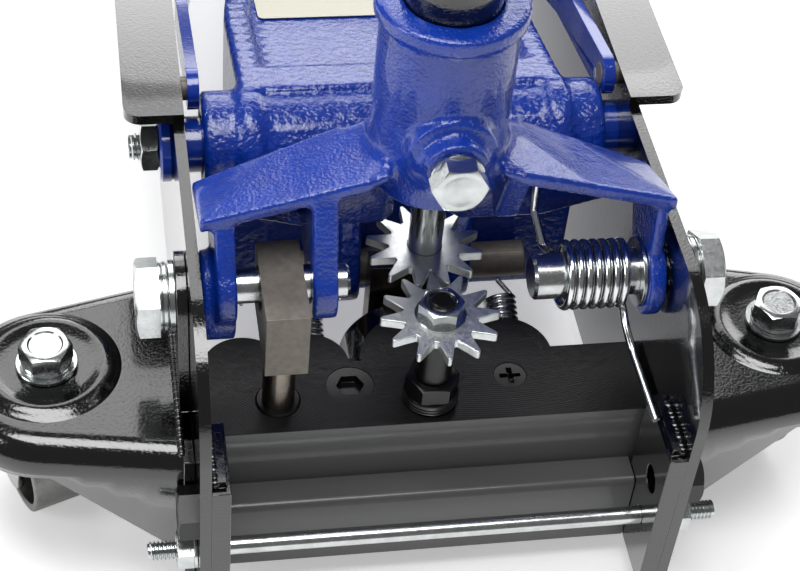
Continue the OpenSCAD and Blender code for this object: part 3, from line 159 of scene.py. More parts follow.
def milled_black(name, top_height):
    """Satin black block whose top was milled and oiled: dull black there, with arcs from the cutter. Its
    sides carry a grey base colour that is a painted reflection of the white floor.
    """
    material, tree, place = blank(name)
    height = add(tree, "ShaderNodeSeparateXYZ", links={"Vector": place}).outputs["Z"]
    top = add(tree, "ShaderNodeMath", {"operation": "GREATER_THAN", 1: top_height - 0.3 * MM}, {0: height})
    centred = add(tree, "ShaderNodeMapping", {"Location": (-30 * MM, 150 * MM, 0)}, {"Vector": place})
    arcs = add(tree, "ShaderNodeTexWave", {"wave_type": "RINGS", "rings_direction": "Z",
               "Scale": TURN / (20 * 1.1 * MM), "Distortion": 0.8, "Detail": 2.0},
               {"Vector": centred.outputs[0]})
    oil = add(tree, "ShaderNodeTexNoise", {"Scale": 1 / (2.5 * MM), "Detail": 5.0}, {"Vector": place})
    both = add(tree, "ShaderNodeMath", {"operation": "MULTIPLY"},
               {0: arcs.outputs["Fac"], 1: oil.outputs["Fac"]})
    cut = add(tree, "ShaderNodeMath", {"operation": "MULTIPLY"}, {0: both.outputs[0], 1: top.outputs[0]})
    skin = add(tree, "ShaderNodeBump", {"Distance": 0.12 * MM}, {"Height": cut.outputs[0]})
    # The sides' grey #4A4A4A is a painted reflection of the white floor in their black gloss; the top's
    # near-black is its own oiled colour.
    colour = add(tree, "ShaderNodeMix", {"data_type": "RGBA", 6: linear("#4A4A4A"), 7: linear("#0A0908")},
                 {0: top.outputs[0]})
    dull = add(tree, "ShaderNodeMapRange", {"To Min": 0.55, "To Max": 0.34}, {"Value": top.outputs[0]})
    wet = add(tree, "ShaderNodeMapRange", {"To Min": 0.5, "To Max": 0.0}, {"Value": top.outputs[0]})
    bsdf = add(tree, "ShaderNodeBsdfPrincipled",
               {"Coat Roughness": 0.1},
               {"Base Color": colour.outputs[2], "Roughness": dull.outputs[0], "Coat Weight": wet.outputs[0],
                "Normal": skin.outputs["Normal"]})
    add(tree, "ShaderNodeOutputMaterial", links={"Surface": bsdf.outputs["BSDF"]})
    return material


def dull_skin(name, colour, rough, lump, depth):
    """Rubber, foam or oxide: dull, with a fine skin."""
    material, tree, place = blank(name)
    grain = add(tree, "ShaderNodeTexNoise", {"Scale": 1 / (lump * MM), "Detail": 4.0}, {"Vector": place})
    skin = add(tree, "ShaderNodeBump", {"Distance": depth * MM}, {"Height": grain.outputs["Fac"]})
    bsdf = add(tree, "ShaderNodeBsdfPrincipled",
               {"Base Color": linear(colour), "Roughness": rough},
               {"Normal": skin.outputs["Normal"]})
    add(tree, "ShaderNodeOutputMaterial", links={"Surface": bsdf.outputs["BSDF"]})
    return material


UNIT_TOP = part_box("power_unit")[1][2]
BLACK = gloss_enamel("black_gloss_enamel", "#060606", 1.1, 0.13)
BLUE = cast_enamel("blue_enamel_on_casting", "#0F3FAE", "#0A2C8A", 1.3, 0.5)
BLUE_ARM = cast_enamel("blue_enamel_on_coarse_casting", "#0F3AA0", "#0A2B86", 2.4, 0.8)
BLUE_SMOOTH = gloss_enamel("blue_gloss_enamel", "#0D3499", 1.5, 0.09, 0.16, 0.7)
ZINC = plated_steel("bright_zinc_plating", "#E4E7E7", "#AEB3B3", 0.2, 1.0)
STAMPED = plated_steel("zinc_plated_stamping", "#F1F3F3", "#BFC4C4", 0.42, 0.7)
SPRING = plated_steel("zinc_plated_spring_wire", "#EDEFEF", "#CDD1D2", 0.15, 0.9)
RAW = machined_steel("sawn_grey_steel", "#8A847C", "#625B53", 0.5, 0.5, "Z", 0.35)
GROUND = machined_steel("ground_steel_rod", "#A49C93", "#8B8177", 0.2, 0.35, "Z")
ROLLER = machined_steel("turned_steel_roller", "#8C8C8A", "#6E6E6B", 0.36, 0.6, "X")
BLOCK = milled_black("black_block_with_milled_top", UNIT_TOP)
OXIDE = dull_skin("black_oxide_steel", "#0D0D0D", 0.28, 0.8, 0.03)
RUBBER = dull_skin("black_rubber", "#17171A", 0.6, 0.9, 0.05)
FOAM = dull_skin("black_foam", "#1B1B1D", 0.9, 1.6, 0.3)
PATCH = dull_skin("cream_film", "#C9C6B6", 0.4, 4.0, 0.01)


# ---------------------------------------------------------------- shaping
AXES = {
    "z": Matrix.Identity(4),
    "x": Matrix.Rotation(math.pi / 2, 4, "Y"),
    "-x": Matrix.Rotation(-math.pi / 2, 4, "Y"),
    "y": Matrix.Rotation(-math.pi / 2, 4, "X"),
    "-y": Matrix.Rotation(math.pi / 2, 4, "X"),
}


def put(shape, axis, at):
    """Turns a shape made along Z to an axis and moves its foot to a point."""
    bmesh.ops.transform(shape, matrix=Matrix.Translation(at) @ AXES[axis], verts=shape.verts)
    return shape


def closed(shape):
    """Merges doubles and turns the faces outwards."""
    bmesh.ops.remove_doubles(shape, verts=shape.verts, dist=0.002 * MM)
    bmesh.ops.recalc_face_normals(shape, faces=shape.faces)
    return shape


def lathe(profile, steps=64):
    """Turned solid: profile is (radius, height) from the middle round to the middle again."""
    shape = bmesh.new()
    verts = [shape.verts.new((r, 0, z)) for r, z in profile]
    edges = [shape.edges.new(pair) for pair in zip(verts, verts[1:])]
    bmesh.ops.spin(shape, geom=verts + edges, axis=(0, 0, 1), cent=(0, 0, 0), angle=TURN,
                   steps=steps, use_merge=True)
    return closed(shape)


def rod(radius, length, chamfer=0.5 * MM, steps=64):
    """Plain bar with chamfered ends."""
    return lathe([(0, 0), (radius - chamfer, 0), (radius, chamfer), (radius, length - chamfer),
                  (radius - chamfer, length), (0, length)], steps)


def ring(inner, outer, length, chamfer=0.3 * MM, steps=64):
    """Washer or sleeve with chamfered edges."""
    return lathe([(inner, 0), (outer - chamfer, 0), (outer, chamfer), (outer, length - chamfer),
                  (outer - chamfer, length), (inner, length), (inner, 0)], steps)


def hexagon(flats, height, dish=0.0, both=False):
    """Forged hexagon with its corners turned off at 30 degrees, and a dished top where dish isn't zero."""
    shape = bmesh.new()
    slope = math.tan(math.radians(28))
    disc = flats / 2 * 0.96

    def reach(vert):
        angle = math.atan2(vert.co.y, vert.co.x) % (TURN / 6)
        return flats / 2 / math.cos(angle - TURN / 12)

    def level(verts, size, lift):
        for vert in verts:
            out = Vector((vert.co.x, vert.co.y, 0)).normalized()
            reached = reach(vert)
            vert.co = out * (reached if size is None else size) + Vector((0, 0, lift(reached)))

    loop = bmesh.ops.create_circle(shape, segments=96, radius=flats)["verts"]
    foot = disc if both else None
    level(loop, foot, lambda reached: 0)
    steps = [(None, lambda reached: (reached - disc) * slope)] if both else []
    steps += [(None, lambda reached: height - (reached - disc) * slope), (disc, lambda reached: height)]
    if dish:
        steps += [(disc * 0.8, lambda reached: height), (disc * 0.72, lambda reached: height - dish)]
    first = list(loop)
    for size, lift in steps:
        edges = [e for e in shape.edges if all(v in loop for v in e.verts)]
        grown = bmesh.ops.extrude_edge_only(shape, edges=edges)["geom"]
        loop = [v for v in grown if isinstance(v, bmesh.types.BMVert)]
        level(loop, size, lift)
    for end in (first, loop):
        bmesh.ops.contextual_create(shape, geom=[e for e in shape.edges if all(v in end for v in e.verts)])
    return closed(shape)


def thread(radius, length, pitch):
    """Screw thread: a triangular ridge wound round a core."""
    shape = bmesh.new()
    core = radius - pitch * 0.55
    root = core - pitch * 0.1
    ridge = ((root, 0), (radius, pitch * 0.42), (radius, pitch * 0.52), (root, pitch * 0.94))
    verts = [shape.verts.new((r, 0, z)) for r, z in ridge]
    face = shape.faces.new(verts)
    per_turn = 32
    turns = max(1, int(length / pitch) - 1)
    bmesh.ops.spin(shape, geom=verts + list(shape.edges) + [face], axis=(0, 0, 1), cent=(0, 0, 0),
                   dvec=(0, 0, pitch / per_turn), angle=TURN * turns, steps=per_turn * turns)
    bmesh.ops.holes_fill(shape, edges=shape.edges, sides=8)
    bmesh.ops.recalc_face_normals(shape, faces=shape.faces)
    return shape, rod(core, length, 0.3 * MM, 32)


def joined(*shapes):
    """Several shapes in one."""
    whole = bmesh.new()
    for shape in shapes:
        passing = bpy.data.meshes.new("passing")
        shape.to_mesh(passing)
        shape.free()
        whole.from_mesh(passing)
        bpy.data.meshes.remove(passing)
    return whole


def link(name, data, body, finish, stands_for=()):
    """Makes the object, paints it and fixes it to its body."""
    data.materials.clear()
    data.materials.append(finish)
    obj = bpy.data.objects.new(name, data)
    bpy.context.scene.collection.objects.link(obj)
    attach(obj, body)
    if stands_for:
        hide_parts(*stands_for)
    return obj


def piece(name, shape, body, finish, stands_for=(), crease=38):
    """Turns a shape into an object, smooth except at its creases."""
    data = bpy.data.meshes.new(name)
    shape.to_mesh(data)
    shape.free()
    data.polygons.foreach_set("use_smooth", [True] * len(data.polygons))
    data.set_sharp_from_angle(angle=math.radians(crease))
    return link(name, data, body, finish, stands_for)


def cad_copy(node):
    """A CAD node's mesh with its triangles merged and its flat faces whole."""
    shape = bmesh.new()
    shape.from_mesh(NODES[node].data)
    bmesh.ops.remove_doubles(shape, verts=shape.verts, dist=0.01 * MM)
    bmesh.ops.dissolve_limit(shape, angle_limit=math.radians(0.5), verts=shape.verts, edges=shape.edges)
    return shape


def round_edges(obj, width):
    """Small rounded edges that catch the light."""
    bevel = obj.modifiers.new("rounded_edges", "BEVEL")
    bevel.width = width * MM
    bevel.segments = 2
    bevel.limit_method = "ANGLE"
    bevel.angle_limit = math.radians(40)
    flat = obj.modifiers.new("flat_faces", "WEIGHTED_NORMAL")
    flat.keep_sharp = True


def softened(node, finish, width, shape=None):
    """A CAD node with rounded edges."""
    round_edges(piece(node + "_shown", shape or cad_copy(node), BODY[node], finish, (node,)), width)


def casting(node, finish, grain, passes, melted=None):
    """A CAD node as a casting: rebuilt in small squares and worn round, most where melted(vert) holds."""
    obj = piece(node + "_cast", cad_copy(node), BODY[node], finish, (node,), 180)
    rebuilt = obj.modifiers.new("rebuilt", "REMESH")
    rebuilt.mode = "VOXEL"
    rebuilt.voxel_size = grain * MM
    rebuilt.use_smooth_shade = True
    worn = obj.modifiers.new("worn", "SMOOTH")
    worn.factor = 0.5
    worn.iterations = passes
    if melted:
        view = bpy.context.evaluated_depsgraph_get()
        baked = bpy.data.meshes.new_from_object(obj.evaluated_get(view))
        obj.modifiers.clear()
        shape = bmesh.new()
        shape.from_mesh(baked)
        bpy.data.meshes.remove(baked)
        soft = [v for v in shape.verts if melted(v)]
        for _ in range(60):
            bmesh.ops.smooth_vert(shape, verts=soft, factor=0.5,
                                  use_axis_x=True, use_axis_y=True, use_axis_z=True)
        shape.to_mesh(obj.data)
        shape.free()


def tube(name, path, thick, body, finish, stands_for=()):
    """Round wire along a list of points."""
    curve = bpy.data.curves.new(name, "CURVE")
    curve.dimensions = "3D"
    curve.bevel_depth = thick / 2
    curve.bevel_resolution = 5
    curve.use_fill_caps = True
    spline = curve.splines.new("NURBS")
    spline.points.add(len(path) - 1)
    for point, place in zip(spline.points, path):
        point.co = (*place, 1)
    spline.order_u = 3
    spline.use_endpoint_u = True
    spline.resolution_u = 3
    return link(name, curve, body, finish, stands_for)


def weld(name, start, end, radius, body, finish):
    """Weld bead: overlapping flattened drops along a line."""
    start, end = Vector(start), Vector(end)
    count = max(3, int((end - start).length / (radius * 0.7)))
    shape = bmesh.new()
    for i in range(count):
        at = start.lerp(end, i / (count - 1))
        swell = radius * (0.92 + 0.08 * math.sin(2.4 * i))
        bmesh.ops.create_uvsphere(shape, u_segments=14, v_segments=8, radius=swell,
                                  matrix=Matrix.Translation(at) @ Matrix.Diagonal((1, 1, 0.8, 1)))
    return piece(name, shape, body, finish)


def corners(node):
    """Lowest corner, highest corner and middle of a CAD node."""
    low, high = (Vector(corner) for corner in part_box(node))
    return low, high, (low + high) / 2


# ---------------------------------------------------------------- frame
def on_fold(edge, x, up, foot):
    """Whether an edge runs along the corner of an upright sheet's face and a level sheet's face."""
    if len(edge.link_faces) != 2 or any(abs(abs(v.co.x) - x) > 0.05 * MM for v in edge.verts):
        return False
    if min(v.co.z for v in edge.verts) < foot:
        return False
    normals = [face.normal for face in edge.link_faces]
    return any(abs(n.x) > 0.9 for n in normals) and any(n.z * up > 0.8 for n in normals)


def side_plate(node):
    """Pressed side plate: its out-turned flange is folded with a real radius."""
    low, high, _ = corners(node)
    inner = min(abs(low.x), abs(high.x))
    shape = cad_copy(node)
    shape.normal_update()
    for x, up, radius in ((inner, 1, 6.5), (inner + PLATE, -1, 3.0)):
        edges = [e for e in shape.edges if on_fold(e, x, up, 50 * MM)
                 and max(v.co.y for v in e.verts) > FLANGE_BACK + 1 * MM]
        bmesh.ops.bevel(shape, geom=edges, offset=radius * MM, affect="EDGES", segments=6,
                        profile=0.5, material=-1, clamp_overlap=True)
        shape.normal_update()
    softened(node, BLACK, 0.6, shape)


PLATE = 4.5 * MM
FLANGE_BACK = -0.210
for node in ("side_plate_left", "side_plate_right"):
    side_plate(node)
for side, node in ((-1, "back_bar_left"), (1, "back_bar_right")):
    softened(node, BLACK, 0.7)
    low, high, mid = corners(node)
    weld(node + "_bead", (side * 0.0925, low.y + 5 * MM, high.z - 1.6 * MM),
         (side * 0.0925, high.y - 8 * MM, high.z - 1.6 * MM), 2.6 * MM, "frame", BLACK)
softened("front_bridge", BLACK, 0.6)


def wing_edge(inset, height):
    """A wing's outline from its rear corner round to its front one, drawn in by an inset."""
    radius = WING_R - inset
    front = Vector((154.5 * MM, 79.5 * MM + REAR))
    rear = front - Vector((0, 8 * MM))
    points = []
    for middle, corner_y, way in ((rear, 24 * MM + REAR, 1), (front, 132 * MM + REAR, -1)):
        reach = Vector((PLATE_FACE, corner_y)) - middle
        angle = math.atan2(reach.y, reach.x) + way * math.acos(WING_R / reach.length)
        radial = Vector((math.cos(angle), math.sin(angle)))
        touch = middle + radial * radius
        slope = -radial.x / radial.y
        straight = [(x * MM, touch.y + (x * MM - touch.x) * slope) for x in (98.5, 103, 116, 129, 142, 154.5)]
        arc = [middle + radius * Vector((math.cos(angle * i / 12), math.sin(angle * i / 12)))
               for i in range(12, -1, -1)]
        points.append(straight + [tuple(point) for point in arc])
    outline = points[0] + points[1][::-1]
    return [Vector((x, y, height(x))) for x, y in outline]


def wing(node, side):
    """Pressed wing that carries a caster: its edge is folded down round a wide radius."""
    bend = 11.5 * MM
    levels = [(0, lambda x: 25 * MM + 44 * MM * min(max((x - WING_FACE) / (51.5 * MM), 0), 1)),
              (0, lambda x: WING_TOP - bend - 1 * MM)]
    for i in range(10):
        turned = TURN / 4 * i / 9
        levels.append((bend * (1 - math.cos(turned)),
                       lambda x, up=math.sin(turned): WING_TOP - bend + bend * up))
    levels.append((bend + 1 * MM, lambda x: WING_TOP))
    shape = bmesh.new()
    loop = [shape.verts.new(point) for point in wing_edge(*levels[0])]
    for pair in zip(loop, loop[1:]):
        shape.edges.new(pair)
    for level in levels[1:]:
        edges = [e for e in shape.edges if all(v in loop for v in e.verts)]
        order = {v: i for i, v in enumerate(loop)}
        grown = bmesh.ops.extrude_edge_only(shape, edges=edges)["geom"]
        fresh = [v for v in grown if isinstance(v, bmesh.types.BMVert)]
        nearest = {}
        for v in fresh:
            nearest[min((w for e in v.link_edges for w in e.verts if w in order), key=order.get)] = v
        loop = [nearest[v] for v in loop]
        for v, point in zip(loop, wing_edge(*level)):
            v.co = point
    bmesh.ops.contextual_create(shape, geom=loop)
    bmesh.ops.scale(shape, vec=(side, 1, 1), verts=shape.verts)
    bmesh.ops.recalc_face_normals(shape, faces=shape.faces)
    shell = piece("pressed_" + node, shape, "frame", BLACK)
    wall = shell.modifiers.new("wall", "SOLIDIFY")
    wall.thickness = 4.4 * MM
    wall.offset = -1
    flange = cad_copy(node)
    bmesh.ops.bisect_plane(flange, geom=flange.verts[:] + flange.edges[:] + flange.faces[:],
                           plane_co=(side * WING_FACE, 0, 0), plane_no=(side, 0, 0), clear_outer=True)
    bmesh.ops.holes_fill(flange, edges=[e for e in flange.edges if e.is_boundary])
    softened(node, BLACK, 0.5, flange)


for side, word in ((-1, "left"), (1, "right")):
    swivel = Vector(JOINT[f"caster_{word}_swivel"]["pos_m"])
    swivel.z = WING_TOP
    wing("wing_" + word, side)
    pressed = [(0, -0.3), (0, 1.3), (15, 1.3), (18, 1.35), (20, 1.7), (22, 2.2), (23.5, 2.4), (25, 2.2),
               (27, 1.3), (28.5, 0.5), (30, 0.05), (31, -0.8), (32, -2.4), (28, -3), (0, -3), (0, -0.3)]
    ring_shape = lathe([(r * MM, z * MM) for r, z in pressed], 96)
    piece("pressed_ring_" + word, put(ring_shape, "z", swivel), "frame", BLACK, crease=60)
    bead_x, bead_z = side * 103.5 * MM, WING_TOP - 0.3 * MM
    weld("wing_bead_" + word, (bead_x, -0.325, bead_z), (bead_x, -0.232, bead_z), 1.7 * MM, "frame", BLACK)

# Tie rod with plain nuts and washers; its M8 thread is drawn coarser than real, so that it shows
low, high, mid = corners("tie_rod")
tie_end = 24 * MM
left_thread = [put(s, "x", (low.x, mid.y, mid.z)) for s in thread(4 * MM, tie_end, 1.6 * MM)]
right_thread = [put(s, "-x", (high.x, mid.y, mid.z)) for s in thread(4 * MM, tie_end, 1.6 * MM)]
shank = put(rod(3.7 * MM, high.x - low.x - 2 * tie_end, 0.2 * MM), "x", (low.x + tie_end, mid.y, mid.z))
piece("tie_rod_shown", joined(shank, *left_thread, *right_thread), "frame", ZINC, ("tie_rod",))
nuts = []
for side, axis in ((-1, "-x"), (1, "x")):
    face = side * PLATE_FACE
    nuts.append(put(ring(4.2 * MM, 8 * MM, 1.5 * MM), axis, (face, mid.y, mid.z)))
    nuts.append(put(hexagon(14 * MM, 6.8 * MM, 0.8 * MM), axis, (face + side * 1.6 * MM, mid.y, mid.z)))
piece("tie_nuts_shown", joined(*nuts), "frame", ZINC, ("tie_nuts",))

for node in ("bar_bolts", "unit_bolts"):
    low, high, mid = corners(node)
    heads = [put(hexagon(19 * MM, 8 * MM, 0.5 * MM), axis, (side * (high.x - 8 * MM), mid.y, mid.z))
             for side, axis in ((-1, "-x"), (1, "x"))]
    piece(node + "_shown", joined(*heads), "frame", OXIDE, (node,))

# ---------------------------------------------------------------- power unit
unit = cad_copy("power_unit")
unit.normal_update()
unit_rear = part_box("power_unit")[0][1]
step = [e for e in unit.edges if len(e.link_faces) == 2 and e.calc_face_angle(0) > 1
        and all(abs(v.co.y - unit_rear) < 0.1 * MM and v.co.z > 40 * MM for v in e.verts)]
bmesh.ops.bevel(unit, geom=step, offset=3 * MM, affect="EDGES", segments=6, profile=0.5, material=-1,
                clamp_overlap=True)
softened("power_unit", BLOCK, 0.5, unit)
softened("ram_cylinder", BLACK, 0.8)
softened("filler_plug", OXIDE, 0.5)
softened("safety_screw", OXIDE, 0.25)
valve = Vector(JOINT["valve_turn"]["pos_m"])
unit_face = Vector((valve.x, valve.y, UNIT_TOP))
gland_ring = [put(s, "z", unit_face - Vector((0, 0, 1 * MM))) for s in thread(11.5 * MM, 6.2 * MM, 1.5 * MM)]
gland_hex = put(hexagon(19.4 * MM, 8.8 * MM, 0, True), "z", unit_face + Vector((0, 0, 5.1 * MM)))
piece("valve_gland_shown", joined(gland_hex, *gland_ring), "frame", OXIDE, ("valve_gland",))
low, high, mid = corners("pump_plunger")
plunger = put(rod(6.7 * MM, high.z - low.z, 0.4 * MM), "z", (mid.x, mid.y, low.z))
wiper = put(lathe([(6.75 * MM, 0), (9.3 * MM, 0), (9.3 * MM, 0.5 * MM), (8.6 * MM, 1.1 * MM),
                   (6.75 * MM, 1.1 * MM), (6.75 * MM, 0)]), "z", (mid.x, mid.y, UNIT_TOP))
piece("pump_plunger_shown", plunger, "pump", GROUND, ("pump_plunger",))
piece("pump_wiper", wiper, "frame", OXIDE)
softened("pump_block", RAW, 0.7)
softened("ram_rod", GROUND, 0.7)
softened("crank_pin", RAW, 0.8)

# ---------------------------------------------------------------- release gears
for node in ("lower_gear", "upper_gear"):
    softened(node, STAMPED, 0.45)
mid = corners("valve_spindle")[2]
gear_low, gear_high, _ = corners("lower_gear")
foot = UNIT_TOP + 14.4 * MM
stem = put(rod(7.4 * MM, gear_low.z - foot, 0.4 * MM), "z", (mid.x, mid.y, foot))
stud = [put(s, "z", (mid.x, mid.y, gear_high.z)) for s in thread(5 * MM, 8.4 * MM, 1.5 * MM)]
piece("valve_spindle_shown", joined(stem, *stud), "valve", OXIDE, ("valve_spindle",))
nut_foot = put(ring(5.1 * MM, 10.4 * MM, 1.1 * MM), "z", (mid.x, mid.y, gear_high.z))
nut_body = put(hexagon(16 * MM, 6.2 * MM, 0.8 * MM), "z", (mid.x, mid.y, gear_high.z + 1.1 * MM))
piece("gear_nut_shown", joined(nut_foot, nut_body), "valve", ZINC, ("gear_nut",))

# ---------------------------------------------------------------- yoke and its pins
def roof_or_root(vert):
    """Whether a point of the yoke lies on its roofs or at the root of its tube."""
    x, y, z = vert.co.x, vert.co.y - TUBE_Y, vert.co.z
    on_roof = vert.normal.z > 0.6 and 0.026 < abs(x) < 0.086 and -0.0225 < y < 0.0115 and z > 0.150
    return on_roof or (0.0255 < math.hypot(x, y) < 0.039 and 0.176 < z < 0.203)


TUBE_Y = JOINT["handle_twist"]["pos_m"][1]
casting("yoke", BLUE, 1.15, 6, roof_or_root)
pivot = Vector(JOINT["yoke_tilt"]["pos_m"])
for side, axis, word in ((-1, "-x", "left"), (1, "x", "right")):
    low, high, mid = corners("pivot_bolt_" + word)
    inner = high.x if side < 0 else low.x
    far = low.x if side < 0 else high.x
    head = far - side * 10.5 * MM
    shank = put(rod(9.45 * MM, abs(head - inner), 1.2 * MM), axis, (inner, pivot.y, pivot.z))
    face = put(rod(13.8 * MM, 1 * MM, 0.2 * MM), axis, (head, pivot.y, pivot.z))
    bolt_head = put(hexagon(28.4 * MM, 9.4 * MM, 0.6 * MM), axis, (head + side * 0.9 * MM, pivot.y, pivot.z))
    piece(f"pivot_bolt_{word}_shown", joined(shank, face, bolt_head), "frame", ZINC, ("pivot_bolt_" + word,))
washers = []
for side, axis in ((-1, "-x"), (1, "x")):
    seat = side * WING_FACE
    washers.append(put(ring(9.7 * MM, 14.6 * MM, 2.5 * MM), axis, (seat, pivot.y, pivot.z)))
    outer = (seat + side * 2.7 * MM, pivot.y, pivot.z)
    washers.append(put(ring(9.7 * MM, 14 * MM, 2.4 * MM, 0.6 * MM), axis, outer))
piece("lock_washers_shown", joined(*washers), "frame", ZINC, ("lock_washers",))
softened("spring_washer", ZINC, 0.2)
low, high, mid = corners("drive_pin")
piece("drive_pin_shown", put(rod(7 * MM, high.x - low.x, 1.2 * MM), "x", (low.x, mid.y, mid.z)),
      "yoke", ZINC, ("drive_pin",))


def split_pin(x, y, low, high):
    """Split pin: two legs through the drive pin, and an eye that hangs below it."""
    eye = [(x, y - 1.5 * MM * math.sin(a), low - 1.4 * MM + 1.4 * MM * math.cos(a))
           for a in (TURN * i / 12 for i in range(13))]
    return [(x - 0.6 * MM, y, high), (x - 0.5 * MM, y, low + 2 * MM)] + eye + [
        (x + 0.5 * MM, y, low + 2 * MM), (x + 0.6 * MM, y, high)]


low, high, mid = corners("split_pins")
for x, word, stands_for in ((low.x + 1.5 * MM, "inner", ("split_pins",)), (high.x - 1.5 * MM, "outer", ())):
    tube(f"split_pin_{word}", split_pin(x, mid.y, low.z + 3 * MM, high.z - 3.2 * MM), 1.4 * MM, "yoke", ZINC,
         stands_for)

low, high, mid = corners("clamp_bolt")
head = low.y + 8 * MM
clamp = [put(rod(5.9 * MM, high.y - head, 0.8 * MM), "y", (0, head, mid.z)),
         put(ring(6.1 * MM, 10.3 * MM, 1.9 * MM), "y", (0, head, mid.z)),
         put(hexagon(18.9 * MM, 7.9 * MM, 0.5 * MM), "-y", (0, head, mid.z))]
piece("clamp_bolt_shown", joined(*clamp), "yoke", ZINC, ("clamp_bolt",))

# ---------------------------------------------------------------- springs
def coil(axis_point, along, start_side, radius, pitch, turns, steps=20):
    """Points of a helix: along and start_side are unit vectors square to each other."""
    across = along.cross(start_side)
    grown = radius / math.cos(TURN / steps / 2)
    return [axis_point + along * (pitch * i / steps)
            + start_side * (grown * math.cos(TURN * i / steps))
            + across * (grown * math.sin(TURN * i / steps))
            for i in range(int(turns * steps) + 1)]


low, high, _ = corners("handle_spring")
wire = 3.4 * MM
mean = 12.8 * MM
first_x = 52.5 * MM
curls = coil(Vector((first_x, pivot.y, pivot.z)), Vector((1, 0, 0)), Vector((0, 1, 0)), mean, 3.75 * MM, 7.25)
curls = [Vector((p.x, p.y, 2 * pivot.z - p.z)) for p in curls]  # wound the other way round
last = curls[-1]
top = Vector((low.x + wire / 2, pivot.y + 26.6 * MM, high.z - 0.3 * MM))
kink = Vector((top.x + 0.4 * MM, top.y - 3 * MM, 141.5 * MM))
start = Vector((first_x - 4.9 * MM, pivot.y + mean * 1.04, pivot.z + mean * 0.35))
upper_leg = [top, top.lerp(kink, 0.9), kink, kink.lerp(start, 0.12), kink.lerp(start, 0.85), start]
bend = Vector((81.5 * MM, pivot.y - 24.1 * MM, 103.6 * MM))
tip = Vector((85.2 * MM, low.y + wire / 2 + 0.2 * MM, 95.6 * MM))
lower_leg = [last + Vector((0.1 * MM, -mean * 0.6, -0.6 * MM)),
             last + Vector((-0.2 * MM, -mean * 1.1, -3.4 * MM)),
             bend.lerp(last, 0.12), bend, bend.lerp(tip, 0.15), bend.lerp(tip, 0.7), tip]
tube("handle_spring_shown", upper_leg + curls + lower_leg, wire, "frame", SPRING, ("handle_spring",))

for word in ("left", "right"):
    node = "return_spring_" + word
    low, high, mid = corners(node)
    crank = corners("crank_pin")[2]
    start = Vector((mid.x, crank.y, crank.z))
    anchor = Vector((mid.x, low.y + 5.5 * MM, low.z + 6 * MM))
    way = (anchor - start).normalized()
    span = (anchor - start).length
    turns = 18
    begin, stop = 19 * MM, span - 9 * MM
    wound = coil(start + way * begin, way, Vector((1, 0, 0)), 6.2 * MM, (stop - begin) / turns, turns, 16)
    path = [start + way * 10 * MM, start + way * 14 * MM + Vector((3 * MM, 0, 0))] + wound + [
        start + way * (span - 6 * MM) + Vector((3 * MM, 0, 0)), start + way * (span - 2 * MM)]
    tube(node + "_shown", path, 2.4 * MM, "frame", SPRING, (node,))

# ---------------------------------------------------------------- handle
axis_y = JOINT["handle_twist"]["pos_m"][1]


def upright(node, radius, finish, bottom_chamfer=0.6):
    """A round upright bar in a CAD node's place."""
    low, high, _ = corners(node)
    return piece(node + "_shown", put(rod(radius * MM, high.z - low.z, bottom_chamfer * MM, 96), "z",
                                      (0, axis_y, low.z)), BODY[node], finish, (node,))


upright("release_rod", 7, ZINC, 0.9)
low, high, _ = corners("handle_lower")
clamp_z = corners("clamp_bolt")[2].z - low.z
length = high.z - low.z
lower = lathe([(7.5 * MM, 0), (17.6 * MM, 0), (18.4 * MM, 0.8 * MM), (18.4 * MM, clamp_z - 7.2 * MM),
               (15.2 * MM, clamp_z - 7.2 * MM), (15.2 * MM, clamp_z + 7.2 * MM),
               (18.4 * MM, clamp_z + 7.2 * MM), (18.4 * MM, length - 1 * MM), (17.6 * MM, length),
               (16.2 * MM, length), (16.2 * MM, length - 60 * MM), (7.5 * MM, length - 60 * MM),
               (7.5 * MM, 0)], 96)
piece("handle_lower_shown", put(lower, "z", (0, axis_y, low.z)), "handle", BLACK, ("handle_lower",))
upright("handle_upper", 16, BLACK)
low, high, _ = corners("foam_sleeve")
foam = lathe([(18.6 * MM, 0), (24 * MM, 0), (27 * MM, 4 * MM), (27 * MM, high.z - low.z - 4 * MM),
              (24 * MM, high.z - low.z), (18.6 * MM, high.z - low.z), (18.6 * MM, 0)], 96)
piece("foam_sleeve_shown", put(foam, "z", (0, axis_y, low.z)), "handle", FOAM, ("foam_sleeve",))
low, high, _ = corners("grip")
length = high.z - low.z
ribs = [(16 * MM, 0), (20.5 * MM, 0), (21.2 * MM, 1 * MM), (21.2 * MM, 5 * MM), (20 * MM, 6 * MM)]
rib_step = 7 * MM
for i in range(int((length - 26 * MM) / rib_step)):
    z = 10 * MM + i * rib_step
    ribs += [(18.9 * MM, z), (18.9 * MM, z + rib_step * 0.62), (17.9 * MM, z + rib_step * 0.72),
             (17.9 * MM, z + rib_step * 0.9)]
ribs += [(18.9 * MM, length - 12 * MM), (18.6 * MM, length - 5 * MM), (16.5 * MM, length - 1.5 * MM),
         (12 * MM, length), (0, length), (0, length - 4 * MM), (16 * MM, length - 4 * MM), (16 * MM, 0)]
piece("grip_shown", put(lathe(ribs, 72), "z", (0, axis_y, low.z)), "handle", RUBBER, ("grip",))

